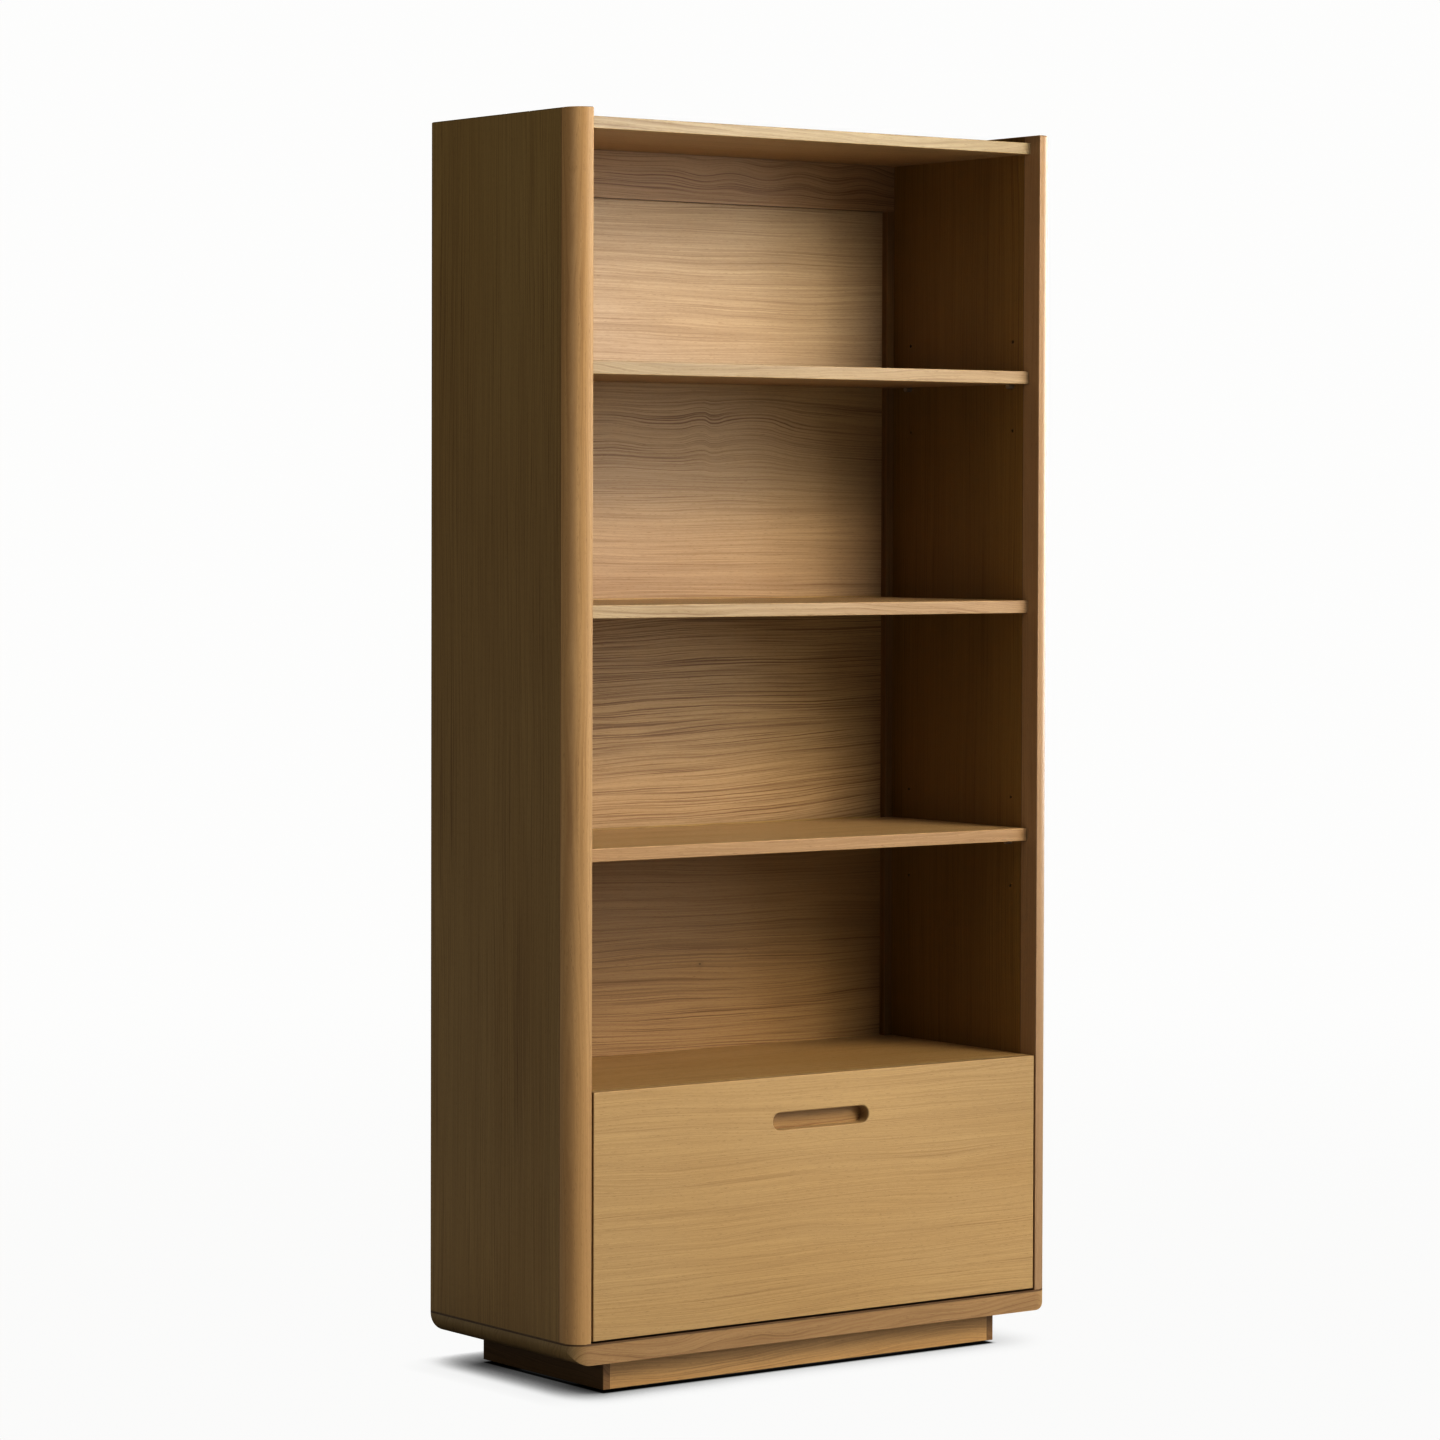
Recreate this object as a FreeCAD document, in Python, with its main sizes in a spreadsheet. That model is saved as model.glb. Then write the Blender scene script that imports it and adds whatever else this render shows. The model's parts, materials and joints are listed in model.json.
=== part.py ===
import FreeCAD, Part
import math
import os
import re
import sys
from FreeCAD import Vector, Rotation, Placement

# Free-standing oak bookcase with three shelves above one wide drawer.
# Millimetres.  +Z up, the front faces -Y, the origin lies on the floor below
# the middle of the bounding box.

doc = FreeCAD.newDocument("Bookcase")
sheet = doc.addObject("Spreadsheet::Sheet", "Params")

# ---------------------------------------------------------------- dimensions
P = {}
CELLS = [
    # carcass
    ("width", 914.0, "overall width"),
    ("depth", 386.0, "overall depth"),
    ("height", 1900.0, "overall height"),
    ("side_thick", 32.0, "thickness of a side"),
    ("nosing_deep", 38.0, "depth of the solid front stile"),
    ("corner_rad", 30.0, "plan radius of the front corners"),
    ("slab_z", 52.0, "underside of the bottom board"),
    ("slab_thick", 32.0, "thickness of the bottom board"),
    ("slab_rad", 30.0, "quarter round along the ends of the bottom board"),
    ("top_z", 1889.0, "upper face of the top panel"),
    ("top_thick", 18.0, "thickness of the top panel"),
    ("top_setback", 23.0, "top panel behind the front plane"),
    ("deck_z", 455.0, "upper face of the fixed board over the drawer"),
    ("deck_thick", 20.0, "thickness of that board"),
    ("deck_setback", 23.0, "its front edge behind the front plane"),
    ("shelf_thick", 20.0, "thickness of the shelves"),
    ("shelf_setback", 24.0, "shelves behind the front plane"),
    ("middle_z", 1171.0, "upper face of the fixed middle shelf"),
    ("upper_z", 1531.0, "upper face of the upper adjustable shelf"),
    ("lower_z", 812.0, "upper face of the lower adjustable shelf"),
    ("shelf_play", 1.0, "gap at each end of an adjustable shelf"),
    ("shelf_deep", 340.0, "depth of an adjustable shelf"),
    ("ease_small", 1.2, "eased edge"),
    ("ease_top", 2.0, "eased top edge of the sides"),
    # back
    ("back_inset", 2.0, "back panel in from the rear plane"),
    ("back_thick", 6.0, "thickness of the back panel"),
    ("rabbet_wide", 9.0, "width of the rear rabbet in a side"),
    ("batten_wide", 15.0, "corner batten, along X"),
    ("batten_deep", 12.0, "corner batten, along Y"),
    ("rail_low", 1797.0, "lower edge of the rear top rail"),
    # plinth
    ("plinth_side_in", 82.0, "plinth in from each side"),
    ("plinth_front_in", 42.0, "plinth behind the front plane"),
    ("plinth_back_in", 22.5, "plinth in from the rear plane"),
    ("plinth_board", 18.0, "front and back boards of the plinth"),
    ("plinth_end", 12.0, "end boards of the plinth"),
    ("block_leg", 70.0, "leg of a triangular corner block"),
    ("glide_rad", 11.0, "radius of a glide"),
    ("glide_high", 4.5, "height of a glide"),
    # shelf supports
    ("pin_rad", 2.5, "shelf pin"),
    ("pin_hole_rad", 2.55, "hole of a shelf pin"),
    ("pin_hole_deep", 10.0, "depth of that hole"),
    ("pin_drop", 3.0, "pin axis below the shelf"),
    ("pin_head_rad", 4.2, "head of a shelf pin"),
    ("pin_head_long", 11.0, "length of the head"),
    ("pin_front", 64.0, "front column of holes from the front plane"),
    ("pin_rear", 322.0, "rear column of holes from the front plane"),
    ("pin_pitch", 70.0, "pitch of the holes"),
    # panel fittings
    ("dowel_rad", 4.0, "dowel"),
    ("dowel_in_side", 12.0, "dowel depth in a side"),
    ("dowel_in_panel", 22.0, "dowel depth in a panel"),
    ("cam_rad", 7.4, "cam disc"),
    ("cam_high", 12.5, "height of a cam disc"),
    ("cam_from_end", 26.0, "cam centre from the panel end"),
    ("bolt_rad", 3.0, "shank of a cam bolt"),
    ("fit_gap", 0.05, "gap round a fitting"),
    # drawer
    ("drawer_gap", 3.0, "gap round the drawer front"),
    ("front_thick", 20.0, "thickness of the drawer front"),
    ("slot_long", 183.0, "length of the finger slot"),
    ("slot_high", 26.4, "height of the finger slot"),
    ("slot_z", 387.2, "centre height of the finger slot"),
    ("slot_ease", 2.0, "eased mouth of the finger slot"),
    ("box_half", 412.0, "half of the outer width of the drawer box"),
    ("box_board", 15.0, "thickness of the drawer box boards"),
    ("box_low", 104.0, "lower edge of the drawer box"),
    ("box_high", 412.0, "upper edge of the drawer box"),
    ("box_long", 330.0, "length of the drawer box"),
    ("bottom_thick", 6.0, "drawer bottom"),
    ("bottom_z", 116.0, "underside of the drawer bottom"),
    ("groove_deep", 7.0, "groove for the drawer bottom"),
    # drawer slides
    ("slide_z", 250.0, "centre height of the slides"),
    ("slide_start", 26.0, "front end of the slides behind the front plane"),
    ("slide_long", 320.0, "length of the slides"),
    ("slide_thick", 13.0, "room that a slide fills"),
    ("metal", 1.2, "sheet thickness of the slides"),
    ("ball_rad", 1.65, "bearing ball"),
]
for row, (alias, value, words) in enumerate(CELLS, start=2):
    sheet.set("A%d" % row, words)
    sheet.set("B%d" % row, str(value))
    sheet.setAlias("B%d" % row, alias)
    P[alias] = value
doc.recompute()

NAMES = re.compile(r"\b(" + "|".join(sorted(P, key=len, reverse=True)) + r")\b")


def ex(text):
    """An expression on the sheet's aliases, written without their prefix."""
    return NAMES.sub(lambda m: "Params." + m.group(1), str(text))


def num(text):
    """The same expression as a number: sums and products of aliases."""
    total = 0.0
    flat = str(text).replace(" ", "").replace("-", "+-")
    for term in flat.split("+"):
        if not term:
            continue
        sign = 1.0
        while term.startswith("-"):
            sign, term = -sign, term[1:]
        product = sign
        for piece in re.split(r"([*/])", "*" + term)[1:]:
            if piece in "*/":
                op = piece
                continue
            v = P[piece] if piece in P else float(piece)
            product = product * v if op == "*" else product / v
        total += product
    return total


FRONT = "-depth/2"
REAR = "depth/2"
INNER = "width/2 - side_thick"
PARTS = []


def node(obj, label):
    obj.Label = label
    PARTS.append(obj)
    return obj


def box(name, x, y, z, lx, ly, lz):
    o = doc.addObject("Part::Box", name)
    for prop, e in (("Length", lx), ("Width", ly), ("Height", lz)):
        o.setExpression(prop, ex(e))
    for axis, e in (("x", x), ("y", y), ("z", z)):
        o.setExpression("Placement.Base." + axis, ex(e))
    return o


TURN = {
    "+z": Rotation(),
    "-z": Rotation(Vector(1, 0, 0), 180),
    "+x": Rotation(Vector(0, 1, 0), 90),
    "-x": Rotation(Vector(0, 1, 0), -90),
    "+y": Rotation(Vector(1, 0, 0), -90),
    "-y": Rotation(Vector(1, 0, 0), 90),
}


def placed(o, x, y, z, way):
    o.Placement = Placement(Vector(0, 0, 0), TURN[way])
    for axis, e in (("x", x), ("y", y), ("z", z)):
        o.setExpression("Placement.Base." + axis, ex(e))
    return o


def cyl(name, x, y, z, way, rad, high):
    o = doc.addObject("Part::Cylinder", name)
    o.setExpression("Radius", ex(rad))
    o.setExpression("Height", ex(high))
    return placed(o, x, y, z, way)


def cone(name, x, y, z, way, rad1, rad2, high):
    o = doc.addObject("Part::Cone", name)
    o.setExpression("Radius1", ex(rad1))
    o.setExpression("Radius2", ex(rad2))
    o.setExpression("Height", ex(high))
    return placed(o, x, y, z, way)


def fuse(name, shapes):
    if len(shapes) == 1:
        return shapes[0]
    o = doc.addObject("Part::MultiFuse", name)
    o.Shapes = shapes
    return o


def cut(name, base, tools):
    o = doc.addObject("Part::Cut", name)
    o.Base = base
    o.Tool = fuse(name + "_tool", tools)
    return o


def group(name, shapes):
    o = doc.addObject("Part::Compound", name)
    o.Links = shapes
    return o


def mirror(name, source):
    o = doc.addObject("Part::Mirroring", name)
    o.Source = source
    o.Normal = Vector(1, 0, 0)
    o.Base = Vector(0, 0, 0)
    return o


def ease(name, base, radius, pick):
    """Rounds the edges of base that pick accepts."""
    doc.recompute()
    edges = [
        (i, P[radius], P[radius])
        for i, e in enumerate(base.Shape.Edges, start=1)
        if pick(e)
    ]
    if not edges:
        sys.exit("no edge to ease on " + name)
    o = doc.addObject("Part::Fillet", name)
    o.Base = base
    o.Edges = edges
    return o


def near(a, b, tol=1e-3):
    return abs(a - b) < tol


def flat_at(e, **where):
    """True when the whole edge lies at the given x, y and z."""
    b = e.BoundBox
    lo = {"x": b.XMin, "y": b.YMin, "z": b.ZMin}
    hi = {"x": b.XMax, "y": b.YMax, "z": b.ZMax}
    return all(near(lo[k], v, 0.02) and near(hi[k], v, 0.02) for k, v in where.items())


def origin_plane(body, role):
    for f in body.Origin.OriginFeatures:
        if getattr(f, "Role", "") == role:
            return f
    sys.exit("no plane " + role)


def new_body(name):
    return doc.addObject("PartDesign::Body", name)


def new_sketch(body, name, role):
    s = body.newObject("Sketcher::SketchObject", name)
    s.AttachmentSupport = (origin_plane(body, role), "")
    s.MapMode = "FlatFace"
    return s


def polygon(sketch, points):
    """Closed straight profile; every corner is held by two named distances
    from the origin, bound to the sheet."""
    import Sketcher

    n = len(points)
    pts = [Vector(num(a), num(b), 0) for a, b in points]
    for i in range(n):
        sketch.addGeometry(Part.LineSegment(pts[i], pts[(i + 1) % n]), False)
    for i in range(n):
        sketch.addConstraint(
            Sketcher.Constraint("Coincident", i, 2, (i + 1) % n, 1)
        )
    for i, (a, b) in enumerate(points):
        for kind, e, value in (("DistanceX", a, pts[i].x), ("DistanceY", b, pts[i].y)):
            c = sketch.addConstraint(
                Sketcher.Constraint(kind, -1, 1, i, 1, value)
            )
            if e not in ("0", 0):
                sketch.setExpression("Constraints[%d]" % c, ex(e))
    return sketch


def pad(body, sketch, name, length):
    p = body.newObject("PartDesign::Pad", name)
    p.Profile = sketch
    p.setExpression("Length", ex(length))
    doc.recompute()
    return p


def body_ease(body, feature, name, radius, pick):
    doc.recompute()
    names = [
        "Edge%d" % i
        for i, e in enumerate(feature.Shape.Edges, start=1)
        if pick(e)
    ]
    if not names:
        sys.exit("no edge to ease on " + name)
    f = body.newObject("PartDesign::Fillet", name)
    f.Base = (feature, names)
    f.setExpression("Radius", ex(radius))
    doc.recompute()
    return f


# ------------------------------------------------------- shared positions
PIN_ROWS = []
for shelf in ("upper_z", "lower_z"):
    for step in ("- pin_pitch", "", "+ pin_pitch"):
        PIN_ROWS.append("%s - shelf_thick - pin_drop %s" % (shelf, step))
PIN_COLUMNS = ("%s + pin_front" % FRONT, "%s + pin_rear" % FRONT)

# (panel, height of the middle of its thickness, thickness)
FIXED = [
    ("top", "top_z - top_thick/2", "top_thick"),
    ("middle", "middle_z - shelf_thick/2", "shelf_thick"),
    ("deck", "deck_z - deck_thick/2", "deck_thick"),
]
CAM_Y = ("%s + 88" % FRONT, "%s + 300" % FRONT)
DOWEL_Y = ("%s + 138" % FRONT, "%s + 250" % FRONT)
BASE_CAM_Y = ("%s + 110" % FRONT, "%s + 280" % FRONT)
BASE_DOWEL_Y = ("%s + 20" % FRONT, "%s + 160" % FRONT, "%s + 345" % FRONT)
SLIDE_SCREW_Y = ("%s + 50" % FRONT, "%s + 186" % FRONT, "%s + 322" % FRONT)
BOX_SCREW_Y = ("%s + 56" % FRONT, "%s + 186" % FRONT, "%s + 316" % FRONT)
SIDE_MID = "-width/2 + side_thick/2"
SLAB_TOP = "slab_z + slab_thick"
LEFT = "side_thick - width/2"          # inner face of the left side

# ------------------------------------------------------------ side panels
# Board behind the solid stile, with the rear rabbet, the columns of pin
# holes, and the bores of the fittings, all in its inner face.
board = box(
    "side_board", "-width/2", FRONT + " + nosing_deep", SLAB_TOP,
    "side_thick", "depth - nosing_deep", "height - slab_z - slab_thick",
)
tools = [
    box(
        "side_rabbet", LEFT + " - rabbet_wide", REAR + " - back_inset - back_thick",
        "slab_z + slab_thick - 1", "rabbet_wide + 1", "back_inset + back_thick + 1",
        "top_z - slab_z - slab_thick + 1",
    )
]
for i, z in enumerate(PIN_ROWS):
    for k, y in enumerate(PIN_COLUMNS):
        tools.append(cyl("pin_hole_%d%d" % (i, k), LEFT, y, z, "-x", "pin_hole_rad", "pin_hole_deep"))
for tag, zc, th in FIXED:
    for k, y in enumerate(CAM_Y):
        tools.append(cyl("side_bolt_hole_%s%d" % (tag, k), LEFT, y, zc, "-x", "2.5 + fit_gap", "11.5"))
    for k, y in enumerate(DOWEL_Y):
        tools.append(cyl("side_dowel_hole_%s%d" % (tag, k), LEFT, y, zc, "-x", "dowel_rad + fit_gap", "dowel_in_side + 0.5"))
for k, y in enumerate(SLIDE_SCREW_Y):
    tools.append(cyl("slide_hole_%d" % k, LEFT, y, "slide_z", "-x", "2 + fit_gap", "14.5"))
for k, y in enumerate(BASE_DOWEL_Y[1:]):
    tools.append(cyl("base_dowel_hole_%d" % k, SIDE_MID, y, SLAB_TOP, "+z", "dowel_rad + fit_gap", "22.5"))
for k, y in enumerate(BASE_CAM_Y):
    tools.append(cyl("base_bolt_hole_%d" % k, LEFT + " - 9", y, SLAB_TOP, "+z", "bolt_rad + 0.4", "cam_from_end + 4"))
    tools.append(cyl("base_cam_hole_%d" % k, LEFT, y, "slab_z + slab_thick + cam_from_end", "-x", "cam_rad + fit_gap", "cam_high + 0.5"))
panel = cut("side_cut", board, tools)
panel = ease(
    "side_eased", panel, "ease_top",
    lambda e: flat_at(e, x=-num("width/2"), z=num("height"))
    or flat_at(e, x=num(LEFT), z=num("height"))
    or flat_at(e, y=num(REAR), z=num("height")),
)
side_left = node(panel, "side_panel_left")
node(mirror("side_right", side_left), "side_panel_right")

# Solid stile along the front of a side: its outer front corner is a quarter
# round in plan.
body = new_body("nosing")
sk = new_sketch(body, "nosing_profile", "XY_Plane")
import Sketcher

r, t, nd = P["corner_rad"], P["side_thick"], P["nosing_deep"]
sk.addGeometry(Part.LineSegment(Vector(0, r, 0), Vector(0, nd, 0)), False)
sk.addGeometry(Part.LineSegment(Vector(0, nd, 0), Vector(t, nd, 0)), False)
sk.addGeometry(Part.LineSegment(Vector(t, nd, 0), Vector(t, 0, 0)), False)
sk.addGeometry(Part.LineSegment(Vector(t, 0, 0), Vector(r, 0, 0)), False)
sk.addGeometry(
    Part.ArcOfCircle(Part.Circle(Vector(r, r, 0), Vector(0, 0, 1), r), math.pi, 1.5 * math.pi),
    False,
)
for a, b in ((0, 1), (1, 2), (2, 3)):
    sk.addConstraint(Sketcher.Constraint("Coincident", a, 2, b, 1))
sk.addConstraint(Sketcher.Constraint("Tangent", 3, 2, 4, 2))
sk.addConstraint(Sketcher.Constraint("Tangent", 4, 1, 0, 1))
for kind, g, p, alias in (
    ("DistanceX", 1, 2, "side_thick"),
    ("DistanceY", 1, 2, "nosing_deep"),
):
    c = sk.addConstraint(Sketcher.Constraint(kind, -1, 1, g, p, P[alias]))
    sk.setExpression("Constraints[%d]" % c, ex(alias))
sk.addConstraint(Sketcher.Constraint("DistanceX", -1, 1, 0, 2, 0.0))
sk.addConstraint(Sketcher.Constraint("Vertical", 0))
sk.addConstraint(Sketcher.Constraint("Horizontal", 1))
sk.addConstraint(Sketcher.Constraint("Vertical", 2))
sk.addConstraint(Sketcher.Constraint("DistanceY", -1, 1, 2, 2, 0.0))
sk.addConstraint(Sketcher.Constraint("Horizontal", 3))
c = sk.addConstraint(Sketcher.Constraint("Radius", 4, r))
sk.setExpression("Constraints[%d]" % c, ex("corner_rad"))
nose = pad(body, sk, "nosing_pad", "height - slab_z - slab_thick")
top = num("height - slab_z - slab_thick")
nose = body_ease(
    body, nose, "nosing_top_ease", "ease_top",
    lambda e: near(e.BoundBox.ZMin, top, 0.02) and not flat_at(e, y=nd),
)
nose = body_ease(
    body, nose, "nosing_edge_ease", "ease_small",
    lambda e: flat_at(e, x=t, y=0.0) and e.BoundBox.ZMax - e.BoundBox.ZMin > 500,
)
body.Tip = nose
placed(body, "-width/2", FRONT, SLAB_TOP, "+z")
doc.recompute()
# bores for the front dowels at the foot
nosing = cut(
    "nosing_cut", body,
    [cyl("nosing_dowel_hole", SIDE_MID, BASE_DOWEL_Y[0], SLAB_TOP, "+z", "dowel_rad + fit_gap", "22.5")],
)
nosing_left = node(nosing, "side_nosing_left")
node(mirror("nosing_right", nosing_left), "side_nosing_right")

# ------------------------------------------------------------- base slab
# The ends are quarter round along their lower edge and the front corners are
# quarter round in plan: the slab is what both outlines share.
body_a = new_body("slab_section")
sk = new_sketch(body_a, "slab_outline", "XZ_Plane")
w2, th, sr = P["width"] / 2, P["slab_thick"], P["slab_rad"]
sk.addGeometry(Part.LineSegment(Vector(-w2, th, 0), Vector(-w2, sr, 0)), False)
sk.addGeometry(
    Part.ArcOfCircle(Part.Circle(Vector(-w2 + sr, sr, 0), Vector(0, 0, 1), sr), math.pi, 1.5 * math.pi),
    False,
)
sk.addGeometry(Part.LineSegment(Vector(-w2 + sr, 0, 0), Vector(w2 - sr, 0, 0)), False)
sk.addGeometry(
    Part.ArcOfCircle(Part.Circle(Vector(w2 - sr, sr, 0), Vector(0, 0, 1), sr), 1.5 * math.pi, 2 * math.pi),
    False,
)
sk.addGeometry(Part.LineSegment(Vector(w2, sr, 0), Vector(w2, th, 0)), False)
sk.addGeometry(Part.LineSegment(Vector(w2, th, 0), Vector(-w2, th, 0)), False)
for a, pa, b, pb in ((0, 2, 1, 1), (1, 2, 2, 1), (2, 2, 3, 1), (3, 2, 4, 1)):
    sk.addConstraint(Sketcher.Constraint("Tangent", a, pa, b, pb))
for a, pa, b, pb in ((4, 2, 5, 1), (5, 2, 0, 1)):
    sk.addConstraint(Sketcher.Constraint("Coincident", a, pa, b, pb))
for g, kind in ((0, "Vertical"), (2, "Horizontal"), (4, "Vertical"), (5, "Horizontal")):
    sk.addConstraint(Sketcher.Constraint(kind, g))
for kind, g, p, value, e in (
    ("DistanceX", 5, 2, -w2, "-width/2"),
    ("DistanceY", 5, 2, th, "slab_thick"),
    ("DistanceX", 5, 1, w2, "width/2"),
    ("DistanceY", 1, 3, sr, "slab_rad"),
    ("DistanceY", 3, 3, sr, "slab_rad"),
):
    c = sk.addConstraint(Sketcher.Constraint(kind, -1, 1, g, p, value))
    sk.setExpression("Constraints[%d]" % c, ex(e))
sk.addConstraint(Sketcher.Constraint("DistanceY", -1, 1, 2, 1, 0.0))
slab_pad = pad(body_a, sk, "slab_pad", "depth")
slab_pad.Midplane = True
doc.recompute()
body_a.Tip = slab_pad
placed(body_a, "0", "0", "slab_z", "+z")

body_b = new_body("slab_plan")
sk = new_sketch(body_b, "slab_plan_outline", "XY_Plane")
polygon(sk, [("-width/2", "-depth/2"), ("width/2", "-depth/2"), ("width/2", "depth/2"), ("-width/2", "depth/2")])
plan = pad(body_b, sk, "slab_plan_pad", "slab_thick")
plan = body_ease(
    body_b, plan, "slab_corner", "corner_rad",
    lambda e: flat_at(e, y=-P["depth"] / 2) and near(abs(e.BoundBox.XMin), w2)
    and near(abs(e.BoundBox.XMax), w2) and e.BoundBox.ZMax - e.BoundBox.ZMin > 5,
)
body_b.Tip = plan
placed(body_b, "0", "0", "slab_z", "+z")
slab = doc.addObject("Part::Common", "slab_common")
slab.Base = body_a
slab.Tool = body_b
doc.recompute()
tools = []
for s in ("l", "r"):
    for k, y in enumerate(BASE_DOWEL_Y):
        x = SIDE_MID if s == "l" else "width/2 - side_thick/2"
        tools.append(cyl("slab_dowel_%s%d" % (s, k), x, y, SLAB_TOP, "-z", "dowel_rad + fit_gap", "18.5"))
    for k, y in enumerate(BASE_CAM_Y):
        x = LEFT + " - 9" if s == "l" else "width/2 - side_thick + 9"
        tools.append(cyl("slab_bolt_%s%d" % (s, k), x, y, SLAB_TOP, "-z", "2.5 + fit_gap", "11.5"))
PLINTH_X = "width/2 - plinth_side_in"        # outer face of the plinth's end
PLINTH_F = FRONT + " + plinth_front_in"
PLINTH_B = REAR + " - plinth_back_in"
CORNERS = []
for sx_, tag_x in ((-1, "left"), (1, "right")):
    for sy_, tag_y in ((-1, "front"), (1, "back")):
        CORNERS.append((sx_, sy_, tag_y + "_" + tag_x))


def corner_xy(sx_, sy_, dx, dy):
    """A point dx, dy inside the inner corner of the plinth frame."""
    if sx_ < 0:
        x = "plinth_side_in + plinth_end - width/2 + %s" % dx
    else:
        x = "width/2 - plinth_side_in - plinth_end - %s" % dx
    if sy_ < 0:
        y = "plinth_front_in + plinth_board - depth/2 + %s" % dy
    else:
        y = "depth/2 - plinth_back_in - plinth_board - %s" % dy
    return x, y


for sx_, sy_, tag in CORNERS:
    x, y = corner_xy(sx_, sy_, 18, 38)
    tools.append(cyl("slab_screw_" + tag, x, y, "slab_z", "+z", "2.25 + fit_gap", "18.5"))
node(cut("slab_cut", slab, tools), "base_board")

# --------------------------------------------------------- fixed panels


def fixed_panel(label, tag, z_top, thick, setback, pocket):
    """Board between the sides, with end bores for dowels and cam bolts and
    round pockets for the cam discs in its underside."""
    zc = "%s - %s/2" % (z_top, thick)
    b = box(
        tag + "_board", LEFT, "%s + %s" % (FRONT, setback), "%s - %s" % (z_top, thick),
        "width - 2*side_thick", "depth - back_inset - back_thick - %s" % setback, thick,
    )
    tools = []
    for s, way, end in (("l", "+x", LEFT), ("r", "-x", INNER)):
        sign = "+" if s == "l" else "-"
        for k, y in enumerate(CAM_Y):
            tools.append(cyl("%s_bolt_%s%d" % (tag, s, k), end, y, zc, way, "bolt_rad + 0.4", "cam_from_end + 4"))
            tools.append(cyl(
                "%s_cam_%s%d" % (tag, s, k), "%s %s cam_from_end" % (end, sign), y,
                "%s - %s" % (z_top, thick), "+z", "cam_rad + fit_gap", "cam_high + 0.5",
            ))
        for k, y in enumerate(DOWEL_Y):
            tools.append(cyl("%s_dowel_%s%d" % (tag, s, k), end, y, zc, way, "dowel_rad + fit_gap", "dowel_in_panel + 0.5"))
    for k, x in enumerate(("-300", "0", "300")):
        if pocket:
            tools.append(cyl("%s_back_%d" % (tag, k), x, REAR + " - back_inset - back_thick", zc, "-y", "1.75 + fit_gap", "10.5"))
    o = cut(tag + "_cut", b, tools)
    yf = num("%s + %s" % (FRONT, setback))
    o = ease(
        tag + "_eased", o, "ease_small",
        lambda e: e.Length > 500 and flat_at(e, y=yf),
    )
    return node(o, label)


fixed_panel("top_panel", "top", "top_z", "top_thick", "top_setback", False)
fixed_panel("middle_shelf", "middle", "middle_z", "shelf_thick", "shelf_setback", True)
fixed_panel("deck_panel", "deck", "deck_z", "deck_thick", "deck_setback", True)

# dowels, cam bolts and cam discs
dowels, bolts, discs = [], [], []
for tag, zc, th in FIXED:
    for s, end, out, inn in (("l", LEFT, "-", "+x"), ("r", INNER, "+", "-x")):
        for k, y in enumerate(DOWEL_Y):
            dowels.append(cyl("dowel_%s%s%d" % (tag, s, k), "%s %s dowel_in_side" % (end, out), y, zc, inn, "dowel_rad", "dowel_in_side + dowel_in_panel"))
        for k, y in enumerate(CAM_Y):
            n = "%s%s%d" % (tag, s, k)
            sgn = "+" if s == "l" else "-"
            bolts.append(fuse("cam_bolt_" + n, [
                cyl("bolt_thread_" + n, "%s %s 11" % (end, out), y, zc, inn, "2.5", "11"),
                cyl("bolt_shank_" + n, end, y, zc, inn, "bolt_rad", "cam_from_end - 8"),
                cyl("bolt_neck_" + n, "%s %s 17" % (end, sgn), y, zc, inn, "1.8", "cam_from_end - 17"),
                cyl("bolt_head_" + n, "%s %s cam_from_end %s 1" % (end, sgn, "-" if s == "l" else "+"), y, zc, inn, "2.9", "2.6"),
            ]))
            xc = "%s %s cam_from_end" % (end, sgn)
            low = "%s - %s/2" % (zc, th)
            discs.append(cut("cam_disc_" + n, cyl("cam_body_" + n, xc, y, low + " + 0.3", "+z", "cam_rad", "cam_high"), [
                cyl("cam_mouth_" + n, "%s %s 17" % (end, sgn), y, zc, inn, "bolt_rad + 0.2", "cam_from_end - 13.5"),
                box("cam_slot_" + n, xc + " - 4", y + " - 0.7", low + " + 0.2", "8", "1.4", "1.6"),
            ]))
for s, x_mid, x_bolt, face, inn in (
    ("l", SIDE_MID, LEFT + " - 9", LEFT, "-x"),
    ("r", "width/2 - side_thick/2", "width/2 - side_thick + 9", INNER, "+x"),
):
    for k, y in enumerate(BASE_DOWEL_Y):
        dowels.append(cyl("dowel_base_%s%d" % (s, k), x_mid, y, "slab_z + slab_thick - 18", "+z", "dowel_rad", "40"))
    for k, y in enumerate(BASE_CAM_Y):
        n = "base_%s%d" % (s, k)
        bolts.append(fuse("cam_bolt_" + n, [
            cyl("bolt_thread_" + n, x_bolt, y, "slab_z + slab_thick - 11", "+z", "2.5", "11"),
            cyl("bolt_shank_" + n, x_bolt, y, SLAB_TOP, "+z", "bolt_rad", "cam_from_end - 8"),
            cyl("bolt_neck_" + n, x_bolt, y, "slab_z + slab_thick + 17", "+z", "1.8", "cam_from_end - 17"),
            cyl("bolt_head_" + n, x_bolt, y, "slab_z + slab_thick + cam_from_end - 1", "+z", "2.9", "2.6"),
        ]))
        zc = "slab_z + slab_thick + cam_from_end"
        start = face + (" - 0.3" if s == "l" else " + 0.3")
        discs.append(cut("cam_disc_" + n, cyl("cam_body_" + n, start, y, zc, inn, "cam_rad", "cam_high"), [
            cyl("cam_mouth_" + n, x_bolt, y, "slab_z + slab_thick + 17", "+z", "bolt_rad + 0.2", "cam_from_end - 13.5"),
            box("cam_slot_" + n, face + (" - 1.9" if s == "l" else " + 0.2"), y + " - 0.7", zc + " - 4", "1.7", "1.4", "8"),
        ]))
node(group("dowel_group", dowels), "panel_dowels")
node(group("bolt_group", bolts), "cam_bolts")
node(group("disc_group", discs), "cam_discs")

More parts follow.
